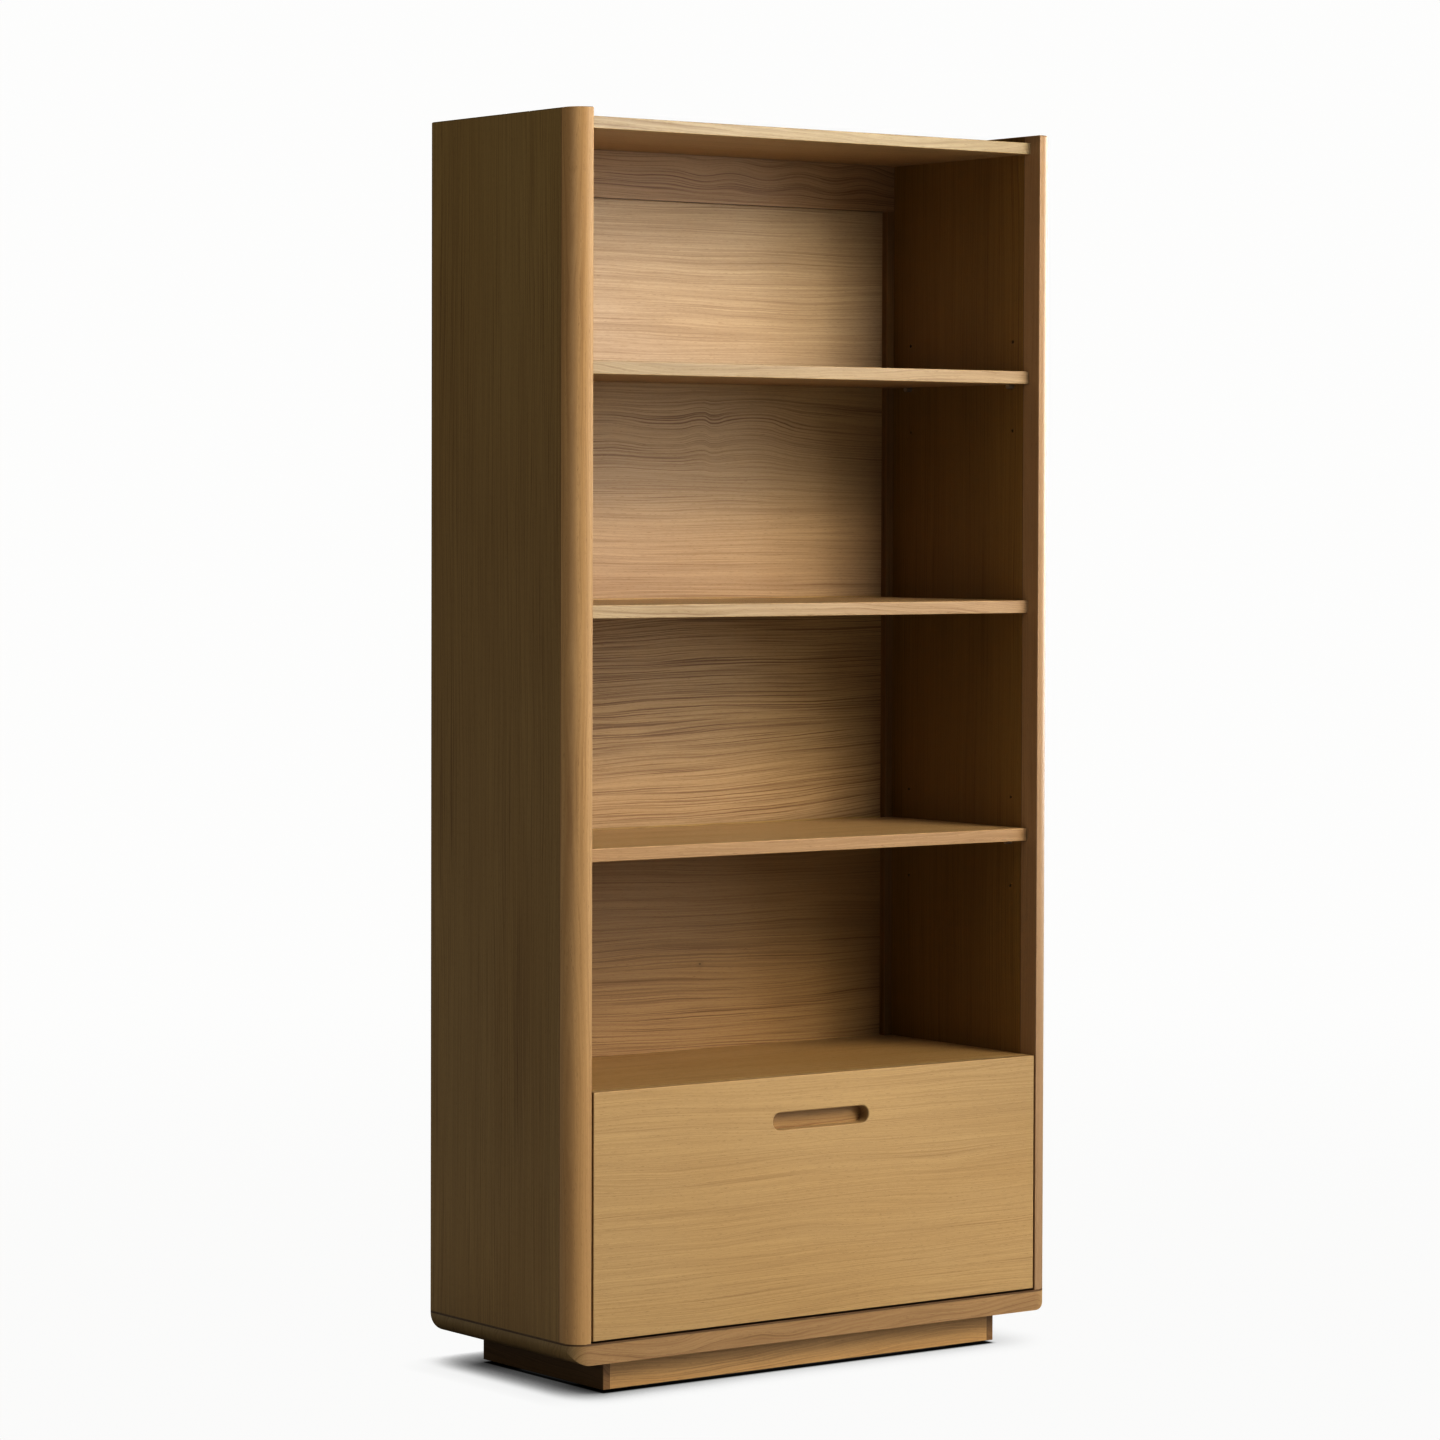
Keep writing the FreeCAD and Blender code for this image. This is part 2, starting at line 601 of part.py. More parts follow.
# ---------------------------------------------------- adjustable shelves
for label, z_top in (("shelf_upper", "upper_z"), ("shelf_lower", "lower_z")):
    b = box(
        label + "_board", LEFT + " + shelf_play", FRONT + " + shelf_setback", z_top + " - shelf_thick",
        "width - 2*side_thick - 2*shelf_play", "shelf_deep", "shelf_thick",
    )
    yf = num(FRONT + " + shelf_setback")
    b = ease(label + "_eased", b, "ease_small", lambda e: e.Length > 500 and flat_at(e, y=yf))
    node(b, label)

# Shelf pins: a round pin in the side and a head with a flat top.
for label, z_top in (("shelf_pins_upper", "upper_z"), ("shelf_pins_lower", "lower_z")):
    pins = []
    z = z_top + " - shelf_thick - pin_drop"
    for s, face, out, inn in (("l", LEFT, "-x", "+x"), ("r", INNER, "+x", "-x")):
        for k, y in enumerate(PIN_COLUMNS):
            n = "%s_%s%d" % (label, s, k)
            head = doc.addObject("Part::Common", "pin_head_" + n)
            head.Base = cyl("pin_head_round_" + n, face, y, z, inn, "pin_head_rad", "pin_head_long")
            head.Tool = box(
                "pin_head_flat_" + n,
                face if s == "l" else face + " - pin_head_long",
                y + " - pin_head_rad", z + " - pin_head_rad",
                "pin_head_long", "2*pin_head_rad", "pin_head_rad + pin_drop",
            )
            pins.append(fuse("pin_" + n, [
                cyl("pin_stem_" + n, face, y, z, out, "pin_rad", "pin_hole_deep - 0.5"), head,
            ]))
    node(group(label + "_group", pins), label)

# ------------------------------------------------------------------ back
# The back panel stands in the rabbets, screwed into the corner battens, the
# rear top rail and the rear edges of the fixed boards.
screw_at = []
for x in ("side_thick + batten_wide/2 - width/2", "width/2 - side_thick - batten_wide/2"):
    for z in (540, 740, 940, 1100, 1240, 1430, 1620, 1760):
        screw_at.append((x, str(z)))
for x in ("-300", "0", "300"):
    screw_at.append((x, "rail_low/2 + top_z/2 - top_thick/2"))
    screw_at.append((x, "deck_z - deck_thick/2"))
    screw_at.append((x, "middle_z - shelf_thick/2"))
BACK_OUT = REAR + " - back_inset"
BACK_IN = REAR + " - back_inset - back_thick"
screws, holes = [], []
for i, (x, z) in enumerate(screw_at):
    screws.append(fuse("back_screw_%d" % i, [
        cone("back_screw_head_%d" % i, x, BACK_OUT, z, "-y", "3.4", "1.75", "2"),
        cyl("back_screw_shank_%d" % i, x, BACK_OUT + " - 1", z, "-y", "1.75", "15"),
    ]))
    holes.append(fuse("back_hole_%d" % i, [
        cone("back_hole_head_%d" % i, x, BACK_OUT + " + 0.1", z, "-y", "3.6", "1.85", "2.2"),
        cyl("back_hole_shank_%d" % i, x, BACK_OUT + " + 0.5", z, "-y", "1.75 + fit_gap", "8"),
    ]))
b = box(
    "back_board", LEFT + " - rabbet_wide + 0.5", BACK_IN, SLAB_TOP,
    "width - 2*side_thick + 2*rabbet_wide - 1", "back_thick", "top_z - slab_z - slab_thick",
)
node(cut("back_cut", b, holes), "back_panel")
node(group("back_screw_group", screws), "back_screws")

rail = box(
    "rail_board", LEFT, BACK_IN + " - batten_deep", "rail_low",
    "width - 2*side_thick", "batten_deep", "top_z - top_thick - rail_low",
)
rail_mid = "rail_low/2 + top_z/2 - top_thick/2"
rail = cut("rail_cut", rail, [
    cyl("rail_hole_%d" % k, x, BACK_IN, rail_mid, "-y", "1.75 + fit_gap", "10.5")
    for k, x in enumerate(("-300", "0", "300"))
])
node(rail, "back_rail_top")
for tag, low, high, rows in (
    ("lower", "deck_z", "middle_z - shelf_thick", (540, 740, 940, 1100)),
    ("upper", "middle_z", "rail_low", (1240, 1430, 1620, 1760)),
):
    b = box("batten_" + tag, LEFT, BACK_IN + " - batten_deep", low, "batten_wide", "batten_deep", "%s - %s" % (high, low) if tag == "upper" else "middle_z - shelf_thick - deck_z")
    b = cut("batten_cut_" + tag, b, [
        cyl("batten_hole_%s%d" % (tag, k), LEFT + " + batten_wide/2", BACK_IN, str(z), "-y", "1.75 + fit_gap", "10.5")
        for k, z in enumerate(rows)
    ])
    left = node(b, "corner_batten_%s_left" % tag)
    node(mirror("batten_right_" + tag, left), "corner_batten_%s_right" % tag)

# ---------------------------------------------------------------- plinth
PL_H = "slab_z - glide_high"
for label, y in (("plinth_front", PLINTH_F), ("plinth_back", PLINTH_B + " - plinth_board")):
    b = box(
        label + "_board", "plinth_side_in + plinth_end - width/2", y, "glide_high",
        "width - 2*plinth_side_in - 2*plinth_end", "plinth_board", PL_H,
    )
    node(b, label)
b = box(
    "plinth_end_board", "plinth_side_in - width/2", PLINTH_F, "glide_high",
    "plinth_end", "depth - plinth_front_in - plinth_back_in", PL_H,
)
xo = num("plinth_side_in - width/2")
b = ease(
    "plinth_end_eased", b, "ease_small",
    lambda e: flat_at(e, x=xo) and e.BoundBox.ZMax - e.BoundBox.ZMin > 30,
)
left = node(b, "plinth_end_left")
node(mirror("plinth_end_r", left), "plinth_end_right")
node(box(
    "plinth_brace_board", "-plinth_board/2", PLINTH_F + " + plinth_board", "glide_high",
    "plinth_board", "depth - plinth_front_in - plinth_back_in - 2*plinth_board", PL_H,
), "plinth_brace")

blocks, glides, base_screws = [], [], []
for sx_, sy_, tag in CORNERS:
    body = new_body("block_" + tag)
    sk = new_sketch(body, "block_outline_" + tag, "XY_Plane")
    leg = ("" if sx_ > 0 else "-") + "block_leg"
    # the right angle lies in the inner corner of the plinth frame
    polygon(sk, [
        ("0", "0"),
        ("-block_leg" if sx_ > 0 else "block_leg", "0"),
        ("0", "-block_leg" if sy_ > 0 else "block_leg"),
    ])
    p_ = pad(body, sk, "block_pad_" + tag, "slab_z - glide_high")
    body.Tip = p_
    x, y = corner_xy(sx_, sy_, 0, 0)
    placed(body, x, y, "glide_high", "+z")
    x, y = corner_xy(sx_, sy_, 18, 38)
    gx, gy = corner_xy(sx_, sy_, 34, 16)
    blocks.append(cut("block_cut_" + tag, body, [
        cyl("block_bore_" + tag, x, y, "glide_high", "+z", "5.2", "10"),
        cyl("block_hole_" + tag, x, y, "glide_high", "+z", "2.25 + fit_gap", "slab_z"),
        cyl("block_nail_hole_" + tag, gx, gy, "glide_high", "+z", "1.5 + fit_gap", "14.5"),
    ]))
    base_screws.append(fuse("base_screw_" + tag, [
        cyl("base_screw_head_" + tag, x, y, "glide_high + 10", "-z", "4.5", "3"),
        cyl("base_screw_shank_" + tag, x, y, "glide_high + 10", "+z", "2.25", "slab_z - glide_high - 10 + 18"),
    ]))
    glide = fuse("glide_raw_" + tag, [
        cyl("glide_disc_" + tag, gx, gy, "0", "+z", "glide_rad", "glide_high"),
        cyl("glide_nail_" + tag, gx, gy, "glide_high", "+z", "1.5", "14"),
    ])
    glide = ease("glide_eased_" + tag, glide, "ease_small", lambda e: flat_at(e, z=0.0))
    node(glide, "glide_" + tag)
node(group("block_group", blocks), "plinth_corner_blocks")
node(group("base_screw_group", base_screws), "plinth_screws")

# ---------------------------------------------------------------- drawer
# Front with a through finger slot, backed by the front board of the box.
FR_HALF = "width/2 - side_thick - drawer_gap"
FR_LOW = "slab_z + slab_thick + drawer_gap"
body = new_body("drawer_face")
sk = new_sketch(body, "drawer_face_outline", "XZ_Plane")
polygon(sk, [
    ("side_thick + drawer_gap - width/2", FR_LOW),
    (FR_HALF, FR_LOW),
    (FR_HALF, "deck_z"),
    ("side_thick + drawer_gap - width/2", "deck_z"),
])
face = pad(body, sk, "drawer_face_pad", "front_thick")
# the XZ plane's normal is -Y, so the pad grows towards -Y from the plane
slot_sk = new_sketch(body, "slot_outline", "XZ_Plane")
sr_, sl_ = P["slot_high"] / 2, P["slot_long"] / 2 - P["slot_high"] / 2
zc_ = P["slot_z"]
slot_sk.addGeometry(Part.LineSegment(Vector(-sl_, zc_ + sr_, 0), Vector(sl_, zc_ + sr_, 0)), False)
slot_sk.addGeometry(Part.ArcOfCircle(Part.Circle(Vector(sl_, zc_, 0), Vector(0, 0, 1), sr_), -math.pi / 2, math.pi / 2), False)
slot_sk.addGeometry(Part.LineSegment(Vector(sl_, zc_ - sr_, 0), Vector(-sl_, zc_ - sr_, 0)), False)
slot_sk.addGeometry(Part.ArcOfCircle(Part.Circle(Vector(-sl_, zc_, 0), Vector(0, 0, 1), sr_), math.pi / 2, 1.5 * math.pi), False)
slot_sk.addConstraint(Sketcher.Constraint("Tangent", 0, 2, 1, 2))
slot_sk.addConstraint(Sketcher.Constraint("Tangent", 1, 1, 2, 1))
slot_sk.addConstraint(Sketcher.Constraint("Tangent", 2, 2, 3, 2))
slot_sk.addConstraint(Sketcher.Constraint("Tangent", 3, 1, 0, 1))
slot_sk.addConstraint(Sketcher.Constraint("Horizontal", 0))
for kind, g, p, value, e in (
    ("DistanceX", 1, 3, sl_, "slot_long/2 - slot_high/2"),
    ("DistanceY", 1, 3, zc_, "slot_z"),
    ("DistanceX", 3, 3, -sl_, "slot_high/2 - slot_long/2"),
):
    c = slot_sk.addConstraint(Sketcher.Constraint(kind, -1, 1, g, p, value))
    slot_sk.setExpression("Constraints[%d]" % c, ex(e))
c = slot_sk.addConstraint(Sketcher.Constraint("Radius", 1, sr_))
slot_sk.setExpression("Constraints[%d]" % c, ex("slot_high/2"))
before = face.Shape.Volume
slot = body.newObject("PartDesign::Pocket", "slot_pocket")
slot.Profile = slot_sk
slot.Type = 1
slot.Midplane = True
doc.recompute()
want = (P["slot_long"] - P["slot_high"]) * P["slot_high"] + math.pi * sr_ ** 2
if abs(before - slot.Shape.Volume - want * P["front_thick"]) > 5:
    sys.exit("the finger slot isn't cut right through: %s" % (before - slot.Shape.Volume))
fb = slot.Shape.BoundBox
y_face = fb.YMin                    # outer face of the drawer front


def in_slot(e):
    b = e.BoundBox
    return (
        b.XMin > -P["slot_long"] / 2 - 1 and b.XMax < P["slot_long"] / 2 + 1
        and b.ZMin > zc_ - sr_ - 1 and b.ZMax < zc_ + sr_ + 1
    )


f1 = body_ease(
    body, slot, "slot_mouth_ease", "slot_ease",
    lambda e: in_slot(e) and flat_at(e, y=y_face),
)
f2 = body_ease(
    body, f1, "drawer_face_ease", "ease_small",
    lambda e: flat_at(e, y=y_face) and not in_slot(e)
    and (near(e.BoundBox.ZMin, num(FR_LOW), 0.01) or near(e.BoundBox.ZMax, P["deck_z"], 0.01)),
)
body.Tip = f2
placed(body, "0", FRONT + " + front_thick" if y_face < -1 else FRONT, "0", "+z")
doc.recompute()
FS = [(x, z) for x in ("-330", "330") for z in ("150", "360")]
BOX_F = FRONT + " + front_thick"
front = cut("drawer_face_cut", body, [
    cyl("face_screw_hole_%d" % k, x, BOX_F, z, "-y", "2 + fit_gap", "13.2") for k, (x, z) in enumerate(FS)
])
node(front, "drawer_front")

BW = "2*box_half - 2*box_board"
BH = "box_high - box_low"
DOWEL_Z = ("160", "258", "356")


def groove(name, x, y, lx, ly):
    return box(name, x, y, "bottom_z - 0.1", lx, ly, "bottom_thick + 0.2")


# sides of the box
b = box("box_side_board", "-box_half", BOX_F, "box_low", "box_board", "box_long", BH)
tools = [groove("box_side_groove", "box_board - box_half - groove_deep", BOX_F + " + box_board - groove_deep", "groove_deep + 1", "box_long - 2*box_board + 2*groove_deep")]
for k, z in enumerate(DOWEL_Z):
    for m, y in enumerate((BOX_F + " + box_board/2", BOX_F + " + box_long - box_board/2")):
        tools.append(cyl("box_side_dowel_%d%d" % (k, m), "box_board - box_half", y, z, "-x", "3 + fit_gap", "10.5"))
for k, y in enumerate(BOX_SCREW_Y):
    tools.append(cyl("box_side_screw_%d" % k, "-box_half", y, "slide_z", "+x", "2 + fit_gap", "12.5"))
left = node(cut("box_side_cut", b, tools), "drawer_box_side_left")
node(mirror("box_side_r", left), "drawer_box_side_right")

# front and back boards of the box
for label, y, groove_y in (
    ("drawer_box_front", BOX_F, BOX_F + " + box_board - groove_deep"),
    ("drawer_box_back", BOX_F + " + box_long - box_board", BOX_F + " + box_long - box_board - 1"),
):
    b = box(label + "_board", "box_board - box_half", y, "box_low", BW, "box_board", BH)
    tools = [groove(label + "_groove", "box_board - box_half - 1", groove_y, BW + " + 2", "groove_deep + 1")]
    for k, z in enumerate(DOWEL_Z):
        for s, end, way in (("l", "box_board - box_half", "+x"), ("r", "box_half - box_board", "-x")):
            tools.append(cyl("%s_dowel_%s%d" % (label, s, k), end, y + " + box_board/2", z, way, "3 + fit_gap", "20.5"))
    if label.endswith("front"):
        for k, (x, z) in enumerate(FS):
            tools.append(cyl("box_front_screw_%d" % k, x, BOX_F, z, "+y", "2 + fit_gap", "box_board"))
    node(cut(label + "_cut", b, tools), label)
node(box(
    "box_bottom_board", "box_board - box_half - groove_deep + 0.5", BOX_F + " + box_board - groove_deep + 0.5", "bottom_z",
    BW + " + 2*groove_deep - 1", "box_long - 2*box_board + 2*groove_deep - 1", "bottom_thick",
), "drawer_bottom")
pegs = []
for s, x, way in (("l", "box_board - box_half - 10", "+x"), ("r", "box_half - box_board + 10", "-x")):
    for m, y in enumerate((BOX_F + " + box_board/2", BOX_F + " + box_long - box_board/2")):
        for k, z in enumerate(DOWEL_Z):
            pegs.append(cyl("box_dowel_%s%d%d" % (s, m, k), x, y, z, way, "3", "30"))
node(group("box_dowel_group", pegs), "drawer_box_dowels")
fs = []
for k, (x, z) in enumerate(FS):
    fs.append(fuse("face_screw_%d" % k, [
        cyl("face_screw_head_%d" % k, x, BOX_F + " + box_board", z, "+y", "4", "2.4"),
        cyl("face_screw_shank_%d" % k, x, BOX_F + " + box_board", z, "-y", "2", "box_board + 13"),
    ]))
node(group("face_screw_group", fs), "drawer_front_screws")
bumps = []
for k, x in enumerate(("-390", "390")):
    c_ = cyl("bumper_%d" % k, x, BOX_F, "deck_z - deck_thick/2", "+y", "4", "2.4")
    bumps.append(c_)
node(group("bumper_group", bumps), "drawer_bumpers")

# ---------------------------------------------------------------- slides
# Three-member ball-bearing slides.  Profiles are drawn with X inwards from
# the side's inner face and Y up from the middle of the slide.
SLIDE_Y = FRONT + " + slide_start"


def slide_member(name, points, x_face):
    b_ = new_body(name)
    s_ = new_sketch(b_, name + "_profile", "XZ_Plane")
    polygon(s_, points)
    p2 = pad(b_, s_, name + "_pad", "slide_long")
    b_.Tip = p2
    # the pad grows towards -Y, so its origin is the rear end
    placed(b_, x_face, SLIDE_Y + " + slide_long", "slide_z", "+z")
    doc.recompute()
    return b_


OUTER = [
    ("0", "-22.5"), ("10.4", "-22.5"), ("10.4", "-18.9"), ("9.2", "-18.9"),
    ("9.2", "metal - 22.5"), ("metal", "metal - 22.5"), ("metal", "22.5 - metal"),
    ("9.2", "22.5 - metal"), ("9.2", "18.9"), ("10.4", "18.9"), ("10.4", "22.5"), ("0", "22.5"),
]
MIDDLE = [
    ("3.8", "-17.8"), ("11", "-17.8"), ("11", "-14.7"), ("10.2", "-14.7"),
    ("10.2", "metal - 17.8"), ("3.8 + metal", "metal - 17.8"), ("3.8 + metal", "17.8 - metal"),
    ("10.2", "17.8 - metal"), ("10.2", "14.7"), ("11", "14.7"), ("11", "17.8"), ("3.8", "17.8"),
]
NARROW = [
    ("6.2", "-13.1"), ("slide_thick", "-13.1"), ("slide_thick", "13.1"), ("6.2", "13.1"),
    ("6.2", "13.1 - metal"), ("slide_thick - metal", "13.1 - metal"),
    ("slide_thick - metal", "metal - 13.1"), ("6.2", "metal - 13.1"),
]
outer = slide_member("slide_outer", OUTER, LEFT)
outer = cut("slide_outer_cut", outer, [
    cyl("outer_hole_%d" % k, LEFT + " - 1", y, "slide_z", "+x", "2 + fit_gap", "4")
    for k, y in enumerate(SLIDE_SCREW_Y)
])
left = node(outer, "slide_cabinet_member_left")
node(mirror("slide_outer_r", left), "slide_cabinet_member_right")
middle = slide_member("slide_middle", MIDDLE, LEFT)
left = node(middle, "slide_middle_member_left")
node(mirror("slide_middle_r", left), "slide_middle_member_right")
narrow = slide_member("slide_inner", NARROW, LEFT)
narrow = cut("slide_inner_cut", narrow, [
    cyl("inner_hole_%d" % k, "-box_half + 1", y, "slide_z", "-x", "2 + fit_gap", "3.5")
    for k, y in enumerate(BOX_SCREW_Y)
])
left = node(narrow, "slide_drawer_member_left")
node(mirror("slide_inner_r", left), "slide_drawer_member_right")

balls = []
for row_, z, x, ys in (
    ("a", 19.55, 7.0, range(196, 337, 20)), ("b", -19.55, 7.0, range(196, 337, 20)),
    ("c", 14.85, 8.1, range(36, 177, 20)), ("d", -14.85, 8.1, range(36, 177, 20)),
):
    for k, y in enumerate(ys):
        s_ = doc.addObject("Part::Sphere", "ball_%s%d" % (row_, k))
        s_.setExpression("Radius", ex("ball_rad"))
        balls.append(placed(s_, "%s + %s" % (LEFT, x), "%s + %s" % (FRONT, y), "slide_z + %s" % z if z > 0 else "slide_z - %s" % -z, "+z"))
left = node(group("ball_group", balls), "slide_balls_left")
node(mirror("ball_group_r", left), "slide_balls_right")

# Retainers: thin perforated strips that keep each row of balls in pitch.
strips = []
for row_, z, x, first in (
    ("a", 19.55, 7.0, 196), ("b", -19.55, 7.0, 196), ("c", 14.85, 8.1, 36), ("d", -14.85, 8.1, 36),
):
    s_ = box(
        "retainer_strip_" + row_, "%s + %s" % (LEFT, x - 1.95), "%s + %d" % (FRONT, first - 7),
        ("slide_z + %s" % (z - 0.3)) if z > 0 else ("slide_z - %s" % (0.3 - z)), "3.9", "154", "0.6",
    )
    strips.append(cut("retainer_" + row_, s_, [
        cyl("retainer_hole_%s%d" % (row_, k), "%s + %s" % (LEFT, x), "%s + %d" % (FRONT, first + 20 * k),
            ("slide_z + %s" % (z - 1)) if z > 0 else ("slide_z - %s" % (1 - z)), "+z", "ball_rad + fit_gap", "2")
        for k in range(8)
    ]))
left = node(group("retainer_group", strips), "slide_ball_retainers_left")
node(mirror("retainer_group_r", left), "slide_ball_retainers_right")

cab, drw = [], []
for s, face, out, side in (("l", LEFT, "-x", "+"), ("r", INNER, "+x", "-")):
    inn = "+x" if out == "-x" else "-x"
    for k, y in enumerate(SLIDE_SCREW_Y):
        n = "%s%d" % (s, k)
        seat = "%s %s metal" % (face, side)
        cab.append(fuse("cabinet_screw_" + n, [
            cyl("cabinet_screw_head_" + n, seat, y, "slide_z", inn, "3.7", "1.7"),
            cyl("cabinet_screw_shank_" + n, seat, y, "slide_z", out, "2", "metal + 14"),
        ]))
    for k, y in enumerate(BOX_SCREW_Y):
        n = "%s%d" % (s, k)
        seat = "%s %s slide_thick %s metal" % (face, side, "-" if side == "+" else "+")
        drw.append(fuse("runner_screw_" + n, [
            cyl("runner_screw_head_" + n, seat, y, "slide_z", out, "3.7", "1.7"),
            cyl("runner_screw_shank_" + n, seat, y, "slide_z", inn, "2", "metal + 12"),
        ]))
node(group("cabinet_screw_group", cab), "slide_screws_cabinet")
node(group("runner_screw_group", drw), "slide_screws_drawer")

# ---------------------------------------------------------------- export
doc.recompute()
bad = []
for o in doc.Objects:
    if "Invalid" in o.State or "Error" in o.State:
        bad.append("%s %s" % (o.Name, o.State))
for o in PARTS:
    if o.Shape.isNull() or not o.Shape.isValid() or not o.Shape.Solids:
        bad.append("%s has no valid solid" % o.Label)
labels = [o.Label for o in PARTS]
if len(set(labels)) != len(labels):
    bad.append("two sub-parts share a label")
if bad:
    sys.exit("failed: " + "; ".join(bad))
os.makedirs("parts", exist_ok=True)
keep = set()
for o in PARTS:
    path = os.path.join("parts", o.Label + ".step")
    o.Shape.exportStep(path)
    keep.add(o.Label + ".step")
    b = o.Shape.BoundBox
    print("%-30s %2d solids  x %8.2f %8.2f  y %8.2f %8.2f  z %8.2f %8.2f" % (
        o.Label, len(o.Shape.Solids), b.XMin, b.XMax, b.YMin, b.YMax, b.ZMin, b.ZMax))
for stale in os.listdir("parts"):
    if stale.endswith(".step") and stale not in keep:
        os.remove(os.path.join("parts", stale))
print(len(PARTS), "nodes")
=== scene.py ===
import json
import math

import bpy
from mathutils import Matrix, Vector

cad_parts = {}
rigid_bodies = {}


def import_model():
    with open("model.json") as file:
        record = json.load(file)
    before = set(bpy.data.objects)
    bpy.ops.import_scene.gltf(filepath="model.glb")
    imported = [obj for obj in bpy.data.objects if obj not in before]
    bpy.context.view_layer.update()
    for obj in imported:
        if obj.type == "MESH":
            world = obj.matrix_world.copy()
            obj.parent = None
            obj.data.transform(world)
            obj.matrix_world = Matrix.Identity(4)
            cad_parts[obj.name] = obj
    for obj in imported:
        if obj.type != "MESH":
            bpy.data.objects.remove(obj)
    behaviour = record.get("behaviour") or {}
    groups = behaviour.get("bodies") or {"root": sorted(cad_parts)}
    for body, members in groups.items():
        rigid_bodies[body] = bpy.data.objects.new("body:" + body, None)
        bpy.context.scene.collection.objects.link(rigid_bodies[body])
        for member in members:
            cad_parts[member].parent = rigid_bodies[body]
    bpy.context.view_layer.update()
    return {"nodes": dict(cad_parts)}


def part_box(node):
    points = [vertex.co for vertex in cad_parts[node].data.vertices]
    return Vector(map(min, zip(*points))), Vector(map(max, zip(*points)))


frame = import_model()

NODES = frame["nodes"]
scene = bpy.context.scene


# ------------------------------------------------------------ node helpers
class Graph:
    """A small shorthand for building a material's node tree."""

    def __init__(self, name):
        self.mat = bpy.data.materials.new(name)
        self.mat.use_nodes = True
        self.nt = self.mat.node_tree
        self.nt.nodes.clear()
        self.out = self.new("ShaderNodeOutputMaterial")

    def new(self, kind, **props):
        n = self.nt.nodes.new(kind)
        for k, v in props.items():
            setattr(n, k, v)
        return n

    def put(self, socket, value):
        if isinstance(value, bpy.types.NodeSocket):
            self.nt.links.new(value, socket)
        elif value is not None:
            socket.default_value = value

    def m(self, op, a, b=None, c=None, clamp=False):
        n = self.new("ShaderNodeMath", operation=op, use_clamp=clamp)
        self.put(n.inputs[0], a)
        if b is not None:
            self.put(n.inputs[1], b)
        if c is not None:
            self.put(n.inputs[2], c)
        return n.outputs[0]

    def vm(self, op, a, b=None):
        n = self.new("ShaderNodeVectorMath", operation=op)
        self.put(n.inputs[0], a)
        if b is not None:
            self.put(n.inputs[3 if op == "SCALE" else 1], b)
        return n.outputs["Value" if op in ("LENGTH", "DOT_PRODUCT") else "Vector"]

    def ramp(self, x, lo, hi, to_lo=0.0, to_hi=1.0, smooth=True):
        n = self.new(
            "ShaderNodeMapRange",
            interpolation_type="SMOOTHSTEP" if smooth else "LINEAR",
            clamp=True,
        )
        self.put(n.inputs["Value"], x)
        self.put(n.inputs["From Min"], lo)
        self.put(n.inputs["From Max"], hi)
        self.put(n.inputs["To Min"], to_lo)
        self.put(n.inputs["To Max"], to_hi)
        return n.outputs["Result"]

    def sep(self, v):
        n = self.new("ShaderNodeSeparateXYZ")
        self.put(n.inputs[0], v)
        return n.outputs

    def comb(self, x=0.0, y=0.0, z=0.0):
        n = self.new("ShaderNodeCombineXYZ")
        for s, v in zip(n.inputs, (x, y, z)):
            self.put(s, v)
        return n.outputs[0]

    def noise(self, v, scale=1.0, detail=2.0, rough=0.5, dist=0.0, colour=False):
        n = self.new("ShaderNodeTexNoise", noise_dimensions="3D")
        self.put(n.inputs["Vector"], v)
        self.put(n.inputs["Scale"], scale)
        self.put(n.inputs["Detail"], detail)
        self.put(n.inputs["Roughness"], rough)
        self.put(n.inputs["Distortion"], dist)
        return n.outputs["Color" if colour else "Fac"]

    def white(self, w):
        n = self.new("ShaderNodeTexWhiteNoise", noise_dimensions="1D")
        self.put(n.inputs["W"], w)
        return n.outputs["Value"], n.outputs["Color"]

    def mix(self, fac, a, b, blend="MIX"):
        n = self.new("ShaderNodeMix", data_type="RGBA", blend_type=blend)
        self.put(n.inputs[0], fac)
        self.put(n.inputs[6], a)
        self.put(n.inputs[7], b)
        return n.outputs[2]

    def bsdf(self, **values):
        n = self.new("ShaderNodeBsdfPrincipled")
        for k, v in values.items():
            self.put(n.inputs[k], v)
        self.nt.links.new(n.outputs[0], self.out.inputs[0])
        return n

    def bump(self, height, distance, strength=1.0):
        n = self.new("ShaderNodeBump")
        self.put(n.inputs["Height"], height)
        n.inputs["Distance"].default_value = distance
        n.inputs["Strength"].default_value = strength
        return n.outputs[0]


def rgb(r, g, b):
    """sRGB 0-255 to a linear RGBA tuple."""
    def lin(v):
        v /= 255.0
        return v / 12.92 if v <= 0.04045 else ((v + 0.055) / 1.055) ** 2.4
    return (lin(r), lin(g), lin(b), 1.0)


# ------------------------------------------------------------------- oak
WOOD = (0.37, 0.26, 0.13)
BACK_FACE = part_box("back_panel")[0][1] * 1000.0      # where the back faces the bays
KNOT = (46.0, 590.0)      # a pin knot low on the back, X and Z


def tone(r=1.0, g=1.0, b=1.0):
    return (WOOD[0] * r, WOOD[1] * g, WOOD[2] * b)


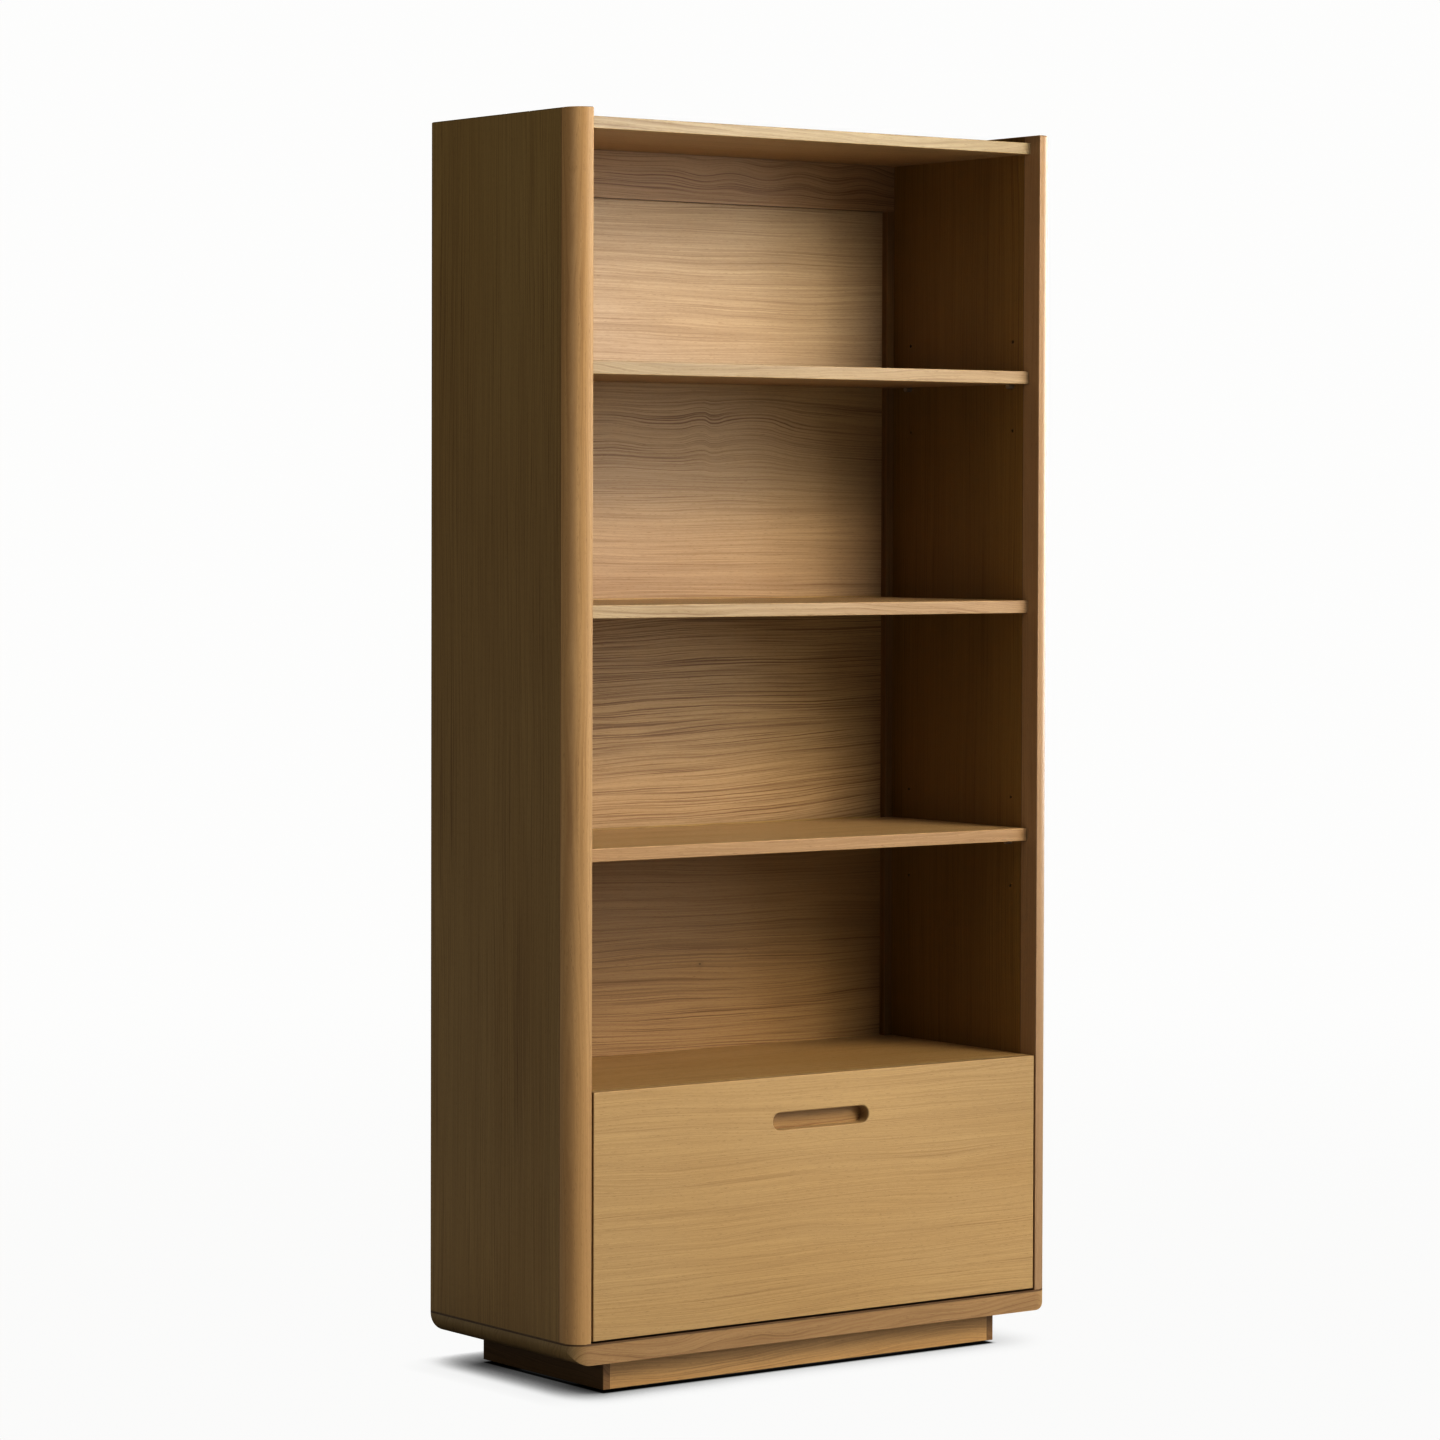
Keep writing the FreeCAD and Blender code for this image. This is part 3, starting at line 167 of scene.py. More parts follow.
def oak(
    name, grain, box=None, tint=WOOD, seed=0.0, pitch=5.6, bend=90.0, rift=0.55,
    ring=0.26, line=1.0, thread=1.0, pore=0.38, patch=0.22, rough=0.44,
    edge=0.35, seam=0.0, raw=False, figure=None, lip=None, stain=None, ends=None, joint=None,
):
    """Oak with its rings running through the board.  grain names the three
    object axes as along, across and through it.  Lengths are millimetres."""
    g = Graph(name)
    tc = g.new("ShaderNodeTexCoord")
    s = dict(zip("xyz", g.sep(g.vm("SCALE", tc.outputs["Object"], 1000.0))))
    u, v, w = s[grain[0]], s[grain[1]], s[grain[2]]
    su = g.m("ADD", u, seed * 731.0)
    sv = g.m("ADD", v, seed * 217.0)
    sw = g.m("ADD", w, seed * 97.0)
    light = tuple(c * k for c, k in zip(tint, (1.17, 1.18, 1.19)))
    dark = tuple(c * k for c, k in zip(tint, (0.59, 0.475, 0.34)))

    def n3(a, b, c, **kw):
        return g.noise(g.comb(g.m("DIVIDE", su, a), g.m("DIVIDE", sv, b), g.m("DIVIDE", sw, c)), **kw)

    def off(x, k):
        return g.m("MULTIPLY", g.m("SUBTRACT", x, 0.5), k)

    # how the rings lie: straight lines that a slow and a quick bend push about
    cut = g.m("ADD", sv, g.m("MULTIPLY", sw, rift))
    cut = g.m("ADD", cut, off(n3(560.0, 120.0, 200.0, detail=1.0, rough=0.4), bend))
    cut = g.m("ADD", cut, off(n3(170.0, 38.0, 60.0, detail=1.5, rough=0.45), bend * 0.16))
    cut = g.m("ADD", cut, off(n3(60.0, 8.0, 12.0, detail=2.0, rough=0.5), 1.9))
    zone = g.ramp(n3(480.0, 95.0, 95.0, detail=1.0), 0.38, 0.62, 0.55, 1.0)
    fine = None
    if figure is not None:
        push, zone, fine = figure(g, s, zone)
        cut = g.m("ADD", cut, push)

    def drawn(a, b, k, **kw):
        """Noise pulled out along the grain, following the bent lines."""
        return g.noise(g.comb(g.m("DIVIDE", su, a), g.m("DIVIDE", cut, b), g.m("ADD", g.m("DIVIDE", sw, 60.0), k)), **kw)

    phase = g.m("DIVIDE", cut, pitch)
    t = g.m("FRACT", phase)
    year, yc = g.white(g.m("ADD", g.m("FLOOR", phase), seed * 3.1))
    late = g.m("MULTIPLY", g.ramp(t, 0.30, 0.86), g.ramp(t, 0.88, 1.0, 1.0, 0.0))
    late = g.m("MULTIPLY", late, g.m("ADD", g.m("MULTIPLY", g.m("POWER", year, 1.5), 1.0), 0.40))
    late = g.m("MULTIPLY", late, g.ramp(drawn(85.0, 5.0, 4.0, detail=1.0), 0.30, 0.66, 0.25, 1.15))
    early = g.ramp(t, 0.0, 0.45, 1.0, 0.0)

    # open pores: short dark dashes along the grain, thickest in early wood
    dash = n3(10.0, 0.62, 0.62, detail=1.0, rough=0.6)
    pores = g.m("MULTIPLY", g.ramp(dash, 0.555, 0.68), g.m("ADD", g.m("MULTIPLY", early, 0.75), 0.30))
    # bundles of fibre, from threads to broad bands
    fibre = drawn(240.0, 1.35, 1.0, detail=2.0, rough=0.6)
    lines = drawn(380.0, 2.2, 9.0, detail=2.0, rough=0.6)
    band = drawn(420.0, 12.0, 15.0, detail=2.0, rough=0.55)
    cloud = n3(640.0, 150.0, 150.0, detail=2.0, rough=0.5)
    # rays: short pale flecks
    rays = g.ramp(n3(5.0, 2.4, 2.4, detail=1.0), 0.64, 0.78)

    light_c, dark_c = (*light, 1.0), (*dark, 1.0)
    grainy = g.m("ADD", g.m("MULTIPLY", late, ring), off(lines, 1.25 * line))
    grainy = g.m("ADD", grainy, g.m("MULTIPLY", g.ramp(lines, 0.54, 0.72, -0.06, 0.34), line))
    grainy = g.m("MULTIPLY", grainy, zone)
    threads = off(fibre, 0.95 * thread)
    if fine is not None:
        threads = g.m("MULTIPLY", threads, fine)
    fac = g.m("ADD", grainy, threads)
    fac = g.m("ADD", fac, off(band, 0.50 * line))
    fac = g.m("ADD", fac, off(cloud, patch))
    fac = g.m("ADD", fac, 0.22, clamp=True)
    col = g.mix(fac, light_c, dark_c)
    warm = (light[0] * 0.985, light[1] * 0.95, light[2] * 0.86, 1.0)
    col = g.mix(g.ramp(cloud, 0.42, 0.68, 0.0, 0.55), col, g.mix(fac, warm, dark_c))
    col = g.mix(g.m("MULTIPLY", rays, 0.14), col, tuple(min(1.0, c * 1.18) for c in light) + (1.0,))
    col = g.mix(g.m("MULTIPLY", pores, pore, clamp=True), col, (dark[0] * 0.72, dark[1] * 0.66, dark[2] * 0.60, 1.0))

    # painted light and shade: the colour is multiplied by a map of where the board is lit and shaded
    if stain is not None:
        col = g.mix(1.0, col, stain(g, s), blend="MULTIPLY")
    if lip is not None:
        # the front edge is a lipping of its own colour, with a painted sheen that changes from left to right
        front = g.ramp(g.sep(tc.outputs["Object"])[1], box[0][1] + 0.0006, box[0][1] + 0.0014, 1.0, 0.0)
        ends_lr = [tuple(a / b for a, b in zip(c, tint)) + (1.0,) for c in lip]
        ratio = g.mix(g.ramp(g.sep(tc.outputs["Object"])[0], -0.32, 0.32, smooth=False), *ends_lr)
        col = g.mix(front, col, g.mix(1.0, col, ratio, blend="MULTIPLY"))

    if ends is not None:
        # the end faces and where they round under are painted lighter and paler: painted light
        side = g.m("POWER", g.m("ABSOLUTE", g.sep(tc.outputs["Normal"])[0]), 1.5)
        col = g.mix(g.m("MINIMUM", side, 1.0), col, g.mix(1.0, col, (*ends, 1.0), blend="MULTIPLY"))
    if joint is not None:
        line = g.ramp(g.sep(tc.outputs["Object"])[2], joint - 0.0034, joint - 0.0018)
        col = g.mix(g.m("MULTIPLY", line, 0.95), col, (dark[0] * 0.45, dark[1] * 0.4, dark[2] * 0.35, 1.0))

    height = g.m("SUBTRACT", g.m("MULTIPLY", fibre, 0.35), pores)
    height = g.m("SUBTRACT", height, g.m("MULTIPLY", early, 0.15))
    rg = g.m("ADD", g.m("MULTIPLY", pores, 0.20), off(fibre, 0.14))
    rg = g.m("ADD", rg, off(cloud, 0.12))

    if box is not None:
        # how far a point of a board lies from the nearest arris
        lo, hi = box
        p = g.sep(tc.outputs["Object"])
        d = []
        for i in range(3):
            a = g.m("SUBTRACT", p[i], lo[i])
            b = g.m("SUBTRACT", hi[i], p[i])
            d.append(g.m("MAXIMUM", g.m("MINIMUM", a, b), 0.0))
        small = g.m("MINIMUM", d[0], g.m("MINIMUM", d[1], d[2]))
        big = g.m("MAXIMUM", d[0], g.m("MAXIMUM", d[1], d[2]))
        mid = g.m("SUBTRACT", g.m("SUBTRACT", g.m("ADD", g.m("ADD", d[0], d[1]), d[2]), small), big)
        rub = n3(30.0, 12.0, 12.0, detail=3.0)
        worn = g.m("MULTIPLY", g.ramp(mid, 0.0004, 0.0022, 1.0, 0.0), g.ramp(rub, 0.35, 0.75, 0.35, 1.0))
        col = g.mix(g.m("MULTIPLY", worn, edge), col, tuple(min(1.0, c * 1.15) for c in light) + (1.0,))
        rg = g.m("SUBTRACT", rg, g.m("MULTIPLY", worn, 0.06))
        if seam:
            rim = g.ramp(mid, 0.0003, 0.0010, 1.0, 0.0)
            col = g.mix(g.m("MULTIPLY", rim, seam), col, (dark[0] * 0.45, dark[1] * 0.4, dark[2] * 0.35, 1.0))

    rg = g.m("ADD", rg, rough, clamp=True)
    b = g.bsdf(**{"Base Color": col, "Roughness": rg, "Normal": g.bump(height, 0.0004 if raw else 0.0002, 0.5)})
    b.inputs["IOR"].default_value = 1.47
    return g.mat


def back_figure(g, s, zone):
    """The lie of the grain on the back: sagging lines high up in the second
    bay, dense dark ones in the third, quiet between."""
    x, z = s["x"], s["z"]

    def belt(lo, hi, soft):
        return g.m("MULTIPLY", g.ramp(z, lo - soft, lo + soft), g.ramp(z, hi - soft, hi + soft, 1.0, 0.0))

    c = g.new("ShaderNodeFloatCurve")
    pts = c.mapping.curves[0].points
    for a, b in ((-142, 0), (-100, 8), (-46, 20), (-2, 22), (50, 11), (67, 20), (95, 13), (119, 8), (156, 5), (208, 17), (245, 27), (300, 30)):
        pts.new((a + 457.0) / 914.0, 0.2 + b / 100.0)
    pts[0].location = (0.0, 0.28)
    pts[-1].location = (1.0, 0.46)
    c.mapping.update()
    g.put(c.inputs["Value"], g.m("DIVIDE", g.m("ADD", x, 457.0), 914.0))
    sag = g.m("MULTIPLY", g.m("SUBTRACT", c.outputs[0], 0.2), 95.0)
    push = g.m("MULTIPLY", sag, g.m("MULTIPLY", belt(1385.0, 1475.0, 42.0), 0.62))
    ripple = g.m("MULTIPLY", g.m("SINE", g.m("DIVIDE", x, 21.0)), g.m("MULTIPLY", g.ramp(x, 60.0, -60.0, 3.4, 0.6), belt(1815.0, 1875.0, 14.0)))
    push = g.m("ADD", push, ripple)
    climb = g.m("MULTIPLY", g.m("MULTIPLY", x, -0.02), belt(790.0, 1160.0, 50.0))
    climb = g.m("SUBTRACT", climb, g.m("MULTIPLY", g.m("POWER", g.m("DIVIDE", g.m("MAXIMUM", g.m("ADD", x, 60.0), 0.0), 450.0), 2.0), g.m("MULTIPLY", belt(790.0, 960.0, 60.0), 16.0)))
    push = g.m("ADD", push, climb)
    curl = g.m("MULTIPLY", g.ramp(x, -425.0, -330.0, 1.0, 0.0), g.m("MULTIPLY", belt(560.0, 660.0, 30.0), 16.0))
    push = g.m("ADD", push, curl)
    strong = g.m("ADD", g.m("MULTIPLY", belt(1395.0, 1475.0, 20.0), 1.15), g.m("MULTIPLY", belt(810.0, 1160.0, 30.0), 1.05))
    strong = g.m("ADD", strong, g.m("MULTIPLY", belt(380.0, 640.0, 25.0), 0.60))
    strong = g.m("ADD", strong, g.m("MULTIPLY", belt(1530.0, 1790.0, 10.0), -0.12))
    strong = g.m("ADD", strong, g.m("MULTIPLY", belt(1800.0, 1900.0, 10.0), 1.00))
    strong = g.m("ADD", strong, g.m("MULTIPLY", belt(985.0, 1160.0, 30.0), 0.35))
    strong = g.m("ADD", strong, 0.55)
    fine = g.m("ADD", g.m("MULTIPLY", belt(985.0, 1160.0, 30.0), 1.80), g.m("MULTIPLY", belt(815.0, 985.0, 30.0), 0.40))
    fine = g.m("ADD", fine, g.m("MULTIPLY", belt(1395.0, 1475.0, 30.0), 0.30))
    fine = g.m("ADD", fine, g.m("MULTIPLY", belt(1530.0, 1790.0, 10.0), -0.08))
    fine = g.m("ADD", fine, 1.05)
    return push, g.m("MULTIPLY", strong, g.ramp(zone, 0.45, 1.0, 0.80, 1.05, smooth=False)), fine


def back_stain(g, s):
    """Painted light and shade on the face of the back: it grows paler from bay to bay towards the top, and
    in each bay it is a little darker half way up, a painted shade, and warmer to the right."""
    x, y, z = s["x"], s["y"], s["z"]
    # painted light: paler from bay to bay towards the top
    step = [g.ramp(z, a - 9.0, a + 9.0) for a in (802.0, 1161.0, 1521.0)]
    painted_mid_shade = 0.0
    # painted shade half way up each bay
    for mid, half, deep in ((600.0, 95.0, 0.08), (968.0, 95.0, 0.08), (1357.0, 92.0, 0.15)):
        away = g.m("ABSOLUTE", g.m("DIVIDE", g.m("SUBTRACT", z, mid), half))
        painted_mid_shade = g.m("ADD", g.ramp(away, 0.0, 1.0, deep, 0.0), painted_mid_shade)
    # painted light colour: pale and bluer low in a bay where the lamps reach, olive in the painted shade under the
    # shelf above it
    painted_light_tint = 0.0
    for lo, hi, foot, head in ((470.0, 790.0, 0.0, -0.17), (825.0, 1150.0, 0.15, -0.07), (1185.0, 1510.0, 0.20, -0.07), (1545.0, 1800.0, 0.14, 0.03)):
        own = g.m("MULTIPLY", g.m("GREATER_THAN", z, lo - 12.0), g.m("LESS_THAN", z, hi + 24.0))
        painted_light_tint = g.m("ADD", g.m("MULTIPLY", own, g.ramp(z, lo, hi, foot, head, smooth=False)), painted_light_tint)
    # painted light colour: warmer towards the right
    painted_light_tint = g.m("ADD", painted_light_tint, g.ramp(x, -150.0, 300.0, 0.04, -0.05, smooth=False))
    knot = g.vm("LENGTH", g.comb(g.m("SUBTRACT", x, KNOT[0]), 0.0, g.m("MULTIPLY", g.m("SUBTRACT", z, KNOT[1]), 1.3)))
    knot = g.m("ADD", g.ramp(knot, 0.6, 2.6, 0.55, 0.0), g.ramp(knot, 2.0, 13.0, 0.10, 0.0))
    # the painted mid-bay shade times the real pin knot
    shade_and_knot = g.m("MULTIPLY", g.m("SUBTRACT", 1.0, painted_mid_shade), g.m("SUBTRACT", 1.0, knot))
    face = g.ramp(y, BACK_FACE + 0.4, BACK_FACE + 1.4, 1.0, 0.0)
    out = []
    for base, rise, plain, own in (
        (0.85, (0.18, 0.02, 0.09), 0.98, 0.0), (0.80, (0.26, 0.03, 0.19), 0.98, 0.0), (0.71, (0.33, 0.10, 0.44), 0.98, 1.0),
    ):
        v = base
        for st, r in zip(step, rise):
            v = g.m("ADD", g.m("MULTIPLY", st, r), v)
        if own:
            v = g.m("MULTIPLY", v, g.m("ADD", painted_light_tint, 1.0))
        v = g.m("MULTIPLY", v, shade_and_knot)
        v = g.m("ADD", g.m("MULTIPLY", face, g.m("SUBTRACT", v, plain)), plain)
        out.append(v)
    return g.comb(*out)


def side_stain(g, s):
    """The left side is a little paler towards its top and foot: painted light."""
    z = s["z"]
    foot = g.ramp(z, 100.0, 420.0, 0.13, 0.0)
    out = []
    for up in (0.16, 0.22, 0.26):
        out.append(g.m("ADD", g.m("ADD", g.ramp(z, 1250.0, 1850.0, 0.0, up), foot), 1.0))
    return g.comb(*out)


def inner_stain(g, s):
    """The right side is paler beside its stile, where light reaches in from the front: painted light."""
    v = g.ramp(s["y"], -150.0, -40.0, 1.13, 0.93)
    return g.comb(v, v, v)


def deck_stain(g, s):
    """The deck is a little darker in its right rear corner: a painted shade."""
    v = g.m("MULTIPLY", g.ramp(s["x"], 120.0, 300.0, 0.0, 0.24), g.ramp(s["y"], 30.0, 150.0))
    v = g.m("SUBTRACT", 1.0, v)
    return g.comb(v, v, v)


def front_stain(g, s):
    """The drawer front is a little darker at its upper right corner: a painted shade."""
    v = g.m("MULTIPLY", g.ramp(s["x"], 60.0, 430.0, 0.0, 0.10), g.ramp(s["z"], 180.0, 430.0))
    v = g.m("SUBTRACT", 1.0, v)
    return g.comb(v, v, v)


def give(node, mat):
    o = NODES[node]
    if not o.material_slots:
        o.data.materials.append(mat)
    for slot in o.material_slots:
        slot.link = "OBJECT"
        slot.material = mat


# --------------------------------------------------------- other finishes
def steel(name, base, rough, along="y", scratch=0.5):
    g = Graph(name)
    tc = g.new("ShaderNodeTexCoord")
    s = dict(zip("xyz", g.sep(g.vm("SCALE", tc.outputs["Object"], 1000.0))))
    rest = [k for k in "xyz" if k != along]
    line = g.noise(g.comb(g.m("DIVIDE", s[along], 40.0), g.m("DIVIDE", s[rest[0]], 0.25), g.m("DIVIDE", s[rest[1]], 0.25)), detail=2.0)
    cloud = g.noise(g.comb(g.m("DIVIDE", s["x"], 18.0), g.m("DIVIDE", s["y"], 18.0), g.m("DIVIDE", s["z"], 18.0)), detail=3.0)
    k = g.m("ADD", g.m("MULTIPLY", g.m("SUBTRACT", line, 0.5), 0.35 * scratch), g.m("MULTIPLY", g.m("SUBTRACT", cloud, 0.5), 0.25))
    col = g.mix(g.m("ADD", k, 0.5, clamp=True), tuple(c * 0.72 for c in base) + (1.0,), tuple(min(1, c * 1.12) for c in base) + (1.0,))
    rg = g.m("ADD", g.m("MULTIPLY", k, 0.5), rough, clamp=True)
    b = g.bsdf(**{"Base Color": col, "Roughness": rg, "Normal": g.bump(line, 0.00002, 0.4)})
    b.inputs["Metallic"].default_value = 1.0
    return g.mat


def plastic(name, base, rough, grit=0.00004):
    g = Graph(name)
    tc = g.new("ShaderNodeTexCoord")
    p = g.vm("SCALE", tc.outputs["Object"], 1000.0)
    fine = g.noise(p, scale=1.6, detail=3.0, rough=0.6)
    scuff = g.noise(p, scale=0.12, detail=4.0, rough=0.6)
    col = g.mix(g.ramp(scuff, 0.35, 0.75), (*base, 1.0), tuple(min(1, c * 1.5 + 0.01) for c in base) + (1.0,))
    rg = g.m("ADD", g.m("MULTIPLY", g.m("SUBTRACT", scuff, 0.5), 0.3), rough, clamp=True)
    g.bsdf(**{"Base Color": col, "Roughness": rg, "Normal": g.bump(fine, grit, 0.6)})
    return g.mat


def board(node, grain, **kw):
    give(node, oak("oak_" + node, grain, box=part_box(node), **kw))


TALL = dict(bend=26.0, ring=0.22, line=0.85, thread=0.60, seam=0.75, patch=0.42)      # grain up the sides
SHELF = dict(bend=60.0, ring=0.20, line=0.6)
# the left side is toned more saturated and a little darker than the oak: painted shade
SHADED_SIDE_TONE = tone(0.96, 0.86, 0.62)

board("side_panel_left", "zyx", seed=1.1, tint=SHADED_SIDE_TONE, stain=side_stain, **TALL)
# the right side is toned much darker and more saturated: painted shade on its inner face, with painted light beside its
# stile
board("side_panel_right", "zyx", seed=2.3, tint=tone(0.71, 0.60, 0.27), stain=inner_stain, **TALL)
STILE = dict(TALL, ring=0.08, line=0.40, patch=0.24)
# the two stiles are toned to how they are lit: the left warmer and a little lighter, the right darker, painted light
# and painted shade
board("side_nosing_left", "zxy", seed=3.7, tint=tone(1.05, 0.97, 0.90), **STILE)
board("side_nosing_right", "zxy", seed=4.9, tint=tone(0.83, 0.77, 0.82), **STILE)
board("base_board", "xyz", seed=5.3, tint=tone(0.88, 0.78, 0.69), line=0.7, ends=(1.16, 1.28, 1.30), joint=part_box("base_board")[1][2])
# each board's tone and its front edge's left and right tones are the oak set board by board to how it is lit: wood
# colour with painted light and painted sheen
for n, sd, tn, lip_l, lip_r in (
    ("top_panel", 6.1, (1.22, 1.20, 1.14), (0.948, 1.04, 1.243), (0.846, 0.921, 1.023)),
    ("shelf_upper", 9.1, (1.06, 1.00, 0.92), (0.902, 0.95, 1.07), (0.874, 0.874, 0.94)),
    ("middle_shelf", 7.7, (1.08, 1.01, 0.92), (1.0, 1.058, 1.195), (0.921, 0.872, 0.937)),
    ("shelf_lower", 10.9, (1.32, 1.27, 1.16), (0.95, 0.843, 0.786), (0.902, 0.808, 0.778)),
    ("deck_panel", 8.3, (1.14, 1.04, 0.81), (1.0, 0.95, 0.85), (1.0, 0.95, 0.85)),
):
    board(n, "xyz", seed=sd, tint=tone(*tn), lip=(tone(*lip_l), tone(*lip_r)), stain=deck_stain if n == "deck_panel" else None, **SHELF)
BACK = dict(figure=back_figure, ring=0.24, line=0.85, thread=1.35, pitch=4.9)
board("back_panel", "xzy", seed=11.3, bend=42.0, tint=tone(1.03, 0.955, 0.84), stain=back_stain, **BACK)
# the rail is toned darker than the back: painted shade under the top panel
board("back_rail_top", "xzy", seed=12.7, bend=50.0, seam=0.6, tint=tone(0.93, 0.82, 0.71), **BACK)
# the battens are toned dark: painted shade in the back corners
for n, sd in (("corner_batten_lower_left", 13.1), ("corner_batten_lower_right", 14.2), ("corner_batten_upper_left", 15.3), ("corner_batten_upper_right", 16.4)):
    board(n, "zxy", seed=sd, bend=20.0, tint=tone(0.62, 0.50, 0.30))
# the plinth boards are toned much lighter: painted light on a front that sits in the shade of the base board
for n, gr, sd in (("plinth_front", "xzy", 17.1), ("plinth_back", "xzy", 18.2), ("plinth_brace", "yzx", 21.5)):
    board(n, gr, seed=sd, ring=0.14, line=0.5, seam=0.7, tint=tone(1.50, 1.33, 1.12))
# the plinth's end boards are toned darker: painted shade under the overhang
for n, sd in (("plinth_end_left", 19.3), ("plinth_end_right", 20.4)):
    board(n, "yzx", seed=sd, ring=0.3, line=0.8, seam=0.4, tint=tone(0.80, 0.64, 0.50))
board("drawer_front", "xzy", seed=22.3, bend=46.0, ring=0.10, line=0.50, thread=0.60, patch=0.18, tint=tone(1.10, 1.055, 0.945), stain=front_stain)
for n, gr, sd in (("drawer_box_side_left", "yzx", 23.1), ("drawer_box_side_right", "yzx", 24.2), ("drawer_box_back", "xzy", 26.4), ("drawer_bottom", "xyz", 27.5)):
    board(n, gr, seed=sd, line=0.8, tint=tone(1.05, 0.98, 0.86))
# the box front, seen through the slot, is toned darker and more saturated: painted shade in the recess
board("drawer_box_front", "xzy", seed=25.3, line=0.8, tint=tone(0.95, 0.84, 0.66))
PALE = dict(tint=(0.50, 0.38, 0.22), pore=0.15, rough=0.62, raw=True)
give("plinth_corner_blocks", oak("raw_blocks", "xzy", seed=28.1, pitch=3.2, ring=0.35, **PALE))
for n in ("panel_dowels", "drawer_box_dowels"):
    give(n, oak("beech_" + n, "xyz", seed=29.5, pitch=1.8, bend=10.0, **PALE))

ZINC = steel("zinc_plated", (0.62, 0.61, 0.58), 0.38, scratch=0.6)
RAIL = steel("slide_zinc", (0.60, 0.61, 0.62), 0.30, along="y", scratch=1.0)
BALL = steel("ball_steel", (0.72, 0.72, 0.73), 0.12, scratch=0.2)
for n in ("cam_bolts", "cam_discs", "shelf_pins_upper", "shelf_pins_lower", "back_screws", "plinth_screws", "drawer_front_screws", "slide_screws_cabinet", "slide_screws_drawer"):
    give(n, ZINC)
for n in ("slide_cabinet_member_left", "slide_cabinet_member_right", "slide_middle_member_left", "slide_middle_member_right", "slide_drawer_member_left", "slide_drawer_member_right", "slide_ball_retainers_left", "slide_ball_retainers_right"):
    give(n, RAIL)
for n in ("slide_balls_left", "slide_balls_right"):
    give(n, BALL)
GLIDE = plastic("glide_plastic", (0.035, 0.028, 0.024), 0.55)
for n in ("glide_front_left", "glide_back_left", "glide_front_right", "glide_back_right"):
    give(n, GLIDE)
give("drawer_bumpers", plastic("bumper_rubber", (0.55, 0.54, 0.50), 0.4))

# ------------------------------------------------------------------ stage
mesh = bpy.data.meshes.new("floor")
S = 14.0
mesh.from_pydata([(-S, -S, -0.0004), (S, -S, -0.0004), (S, S, -0.0004), (-S, S, -0.0004)], [], [(0, 1, 2, 3)])
floor = bpy.data.objects.new("floor", mesh)
scene.collection.objects.link(floor)

# The floor is a white studio sheet drawn as a glow, not lit by the lamps.  To the eye it is white with a painted soft
# contact shade; what it throws back onto the wood is a glow from its front and
# left parts, standing in for light from the lit floor.
WHITE = 0.825
g = Graph("floor_paint")
lp = g.new("ShaderNodeLightPath")
pos = g.sep(g.new("ShaderNodeNewGeometry").outputs["Position"])
# painted contact shade from ambient occlusion, deeper towards the left
ao = g.new("ShaderNodeAmbientOcclusion", samples=16)
ao.inputs["Distance"].default_value = 0.085
g.put(ao.inputs["Normal"], g.comb(0.74, -0.62, 0.26))
near = g.new("ShaderNodeAmbientOcclusion", samples=16)
g.put(near.inputs["Distance"], g.ramp(pos[0], -0.40, -0.365, 0.034, 0.011))
g.put(near.inputs["Normal"], g.comb(0.0, 0.0, 1.0))
deep = g.m("MULTIPLY", g.ramp(pos[0], -0.40, 0.0, 2.6, 1.0), g.ramp(pos[0], -0.465, -0.385, 0.12, 1.0))
shade = g.m("MULTIPLY", g.m("POWER", ao.outputs["AO"], deep), g.m("POWER", near.outputs["AO"], 1.6))
# no light gets in under the plinth
inside = g.m("MULTIPLY", g.m("LESS_THAN", g.m("ABSOLUTE", pos[0]), 0.375), g.m("LESS_THAN", g.m("ABSOLUTE", g.m("SUBTRACT", pos[1], 0.00975)), 0.16075))
shade = g.m("MULTIPLY", shade, g.m("SUBTRACT", 1.0, g.m("MULTIPLY", inside, 0.88)))
away = g.vm("LENGTH", g.comb(pos[0], pos[1], 0.0))
seen = g.new("ShaderNodeEmission")
level = g.m("MULTIPLY", g.ramp(away, 0.8, 6.0, WHITE * 0.985, WHITE), shade)
g.put(seen.inputs[0], g.comb(level, g.m("MULTIPLY", level, 0.999), g.m("MULTIPLY", level, 0.996)))
# the glow toward the wood: painted bounce light from the floor ahead of the case and to its left
ahead = g.m("LESS_THAN", pos[1], -0.19)
beside = g.m("MULTIPLY", g.m("SUBTRACT", 1.0, ahead), g.m("LESS_THAN", pos[0], -0.53))
thrown = g.new("ShaderNodeEmission")
bounce = g.m("ADD", g.m("MULTIPLY", ahead, 0.437), g.m("MULTIPLY", beside, 0.37))
g.put(thrown.inputs[0], g.comb(bounce, g.m("MULTIPLY", bounce, 0.99), g.m("MULTIPLY", bounce, g.m("SUBTRACT", 1.0, g.m("MULTIPLY", beside, 0.10)))))
mx = g.new("ShaderNodeMixShader")
g.put(mx.inputs[0], lp.outputs["Is Camera Ray"])
g.put(mx.inputs[1], thrown.outputs[0])
g.put(mx.inputs[2], seen.outputs[0])
g.put(g.out.inputs[0], mx.outputs[0])
mesh.materials.append(g.mat)

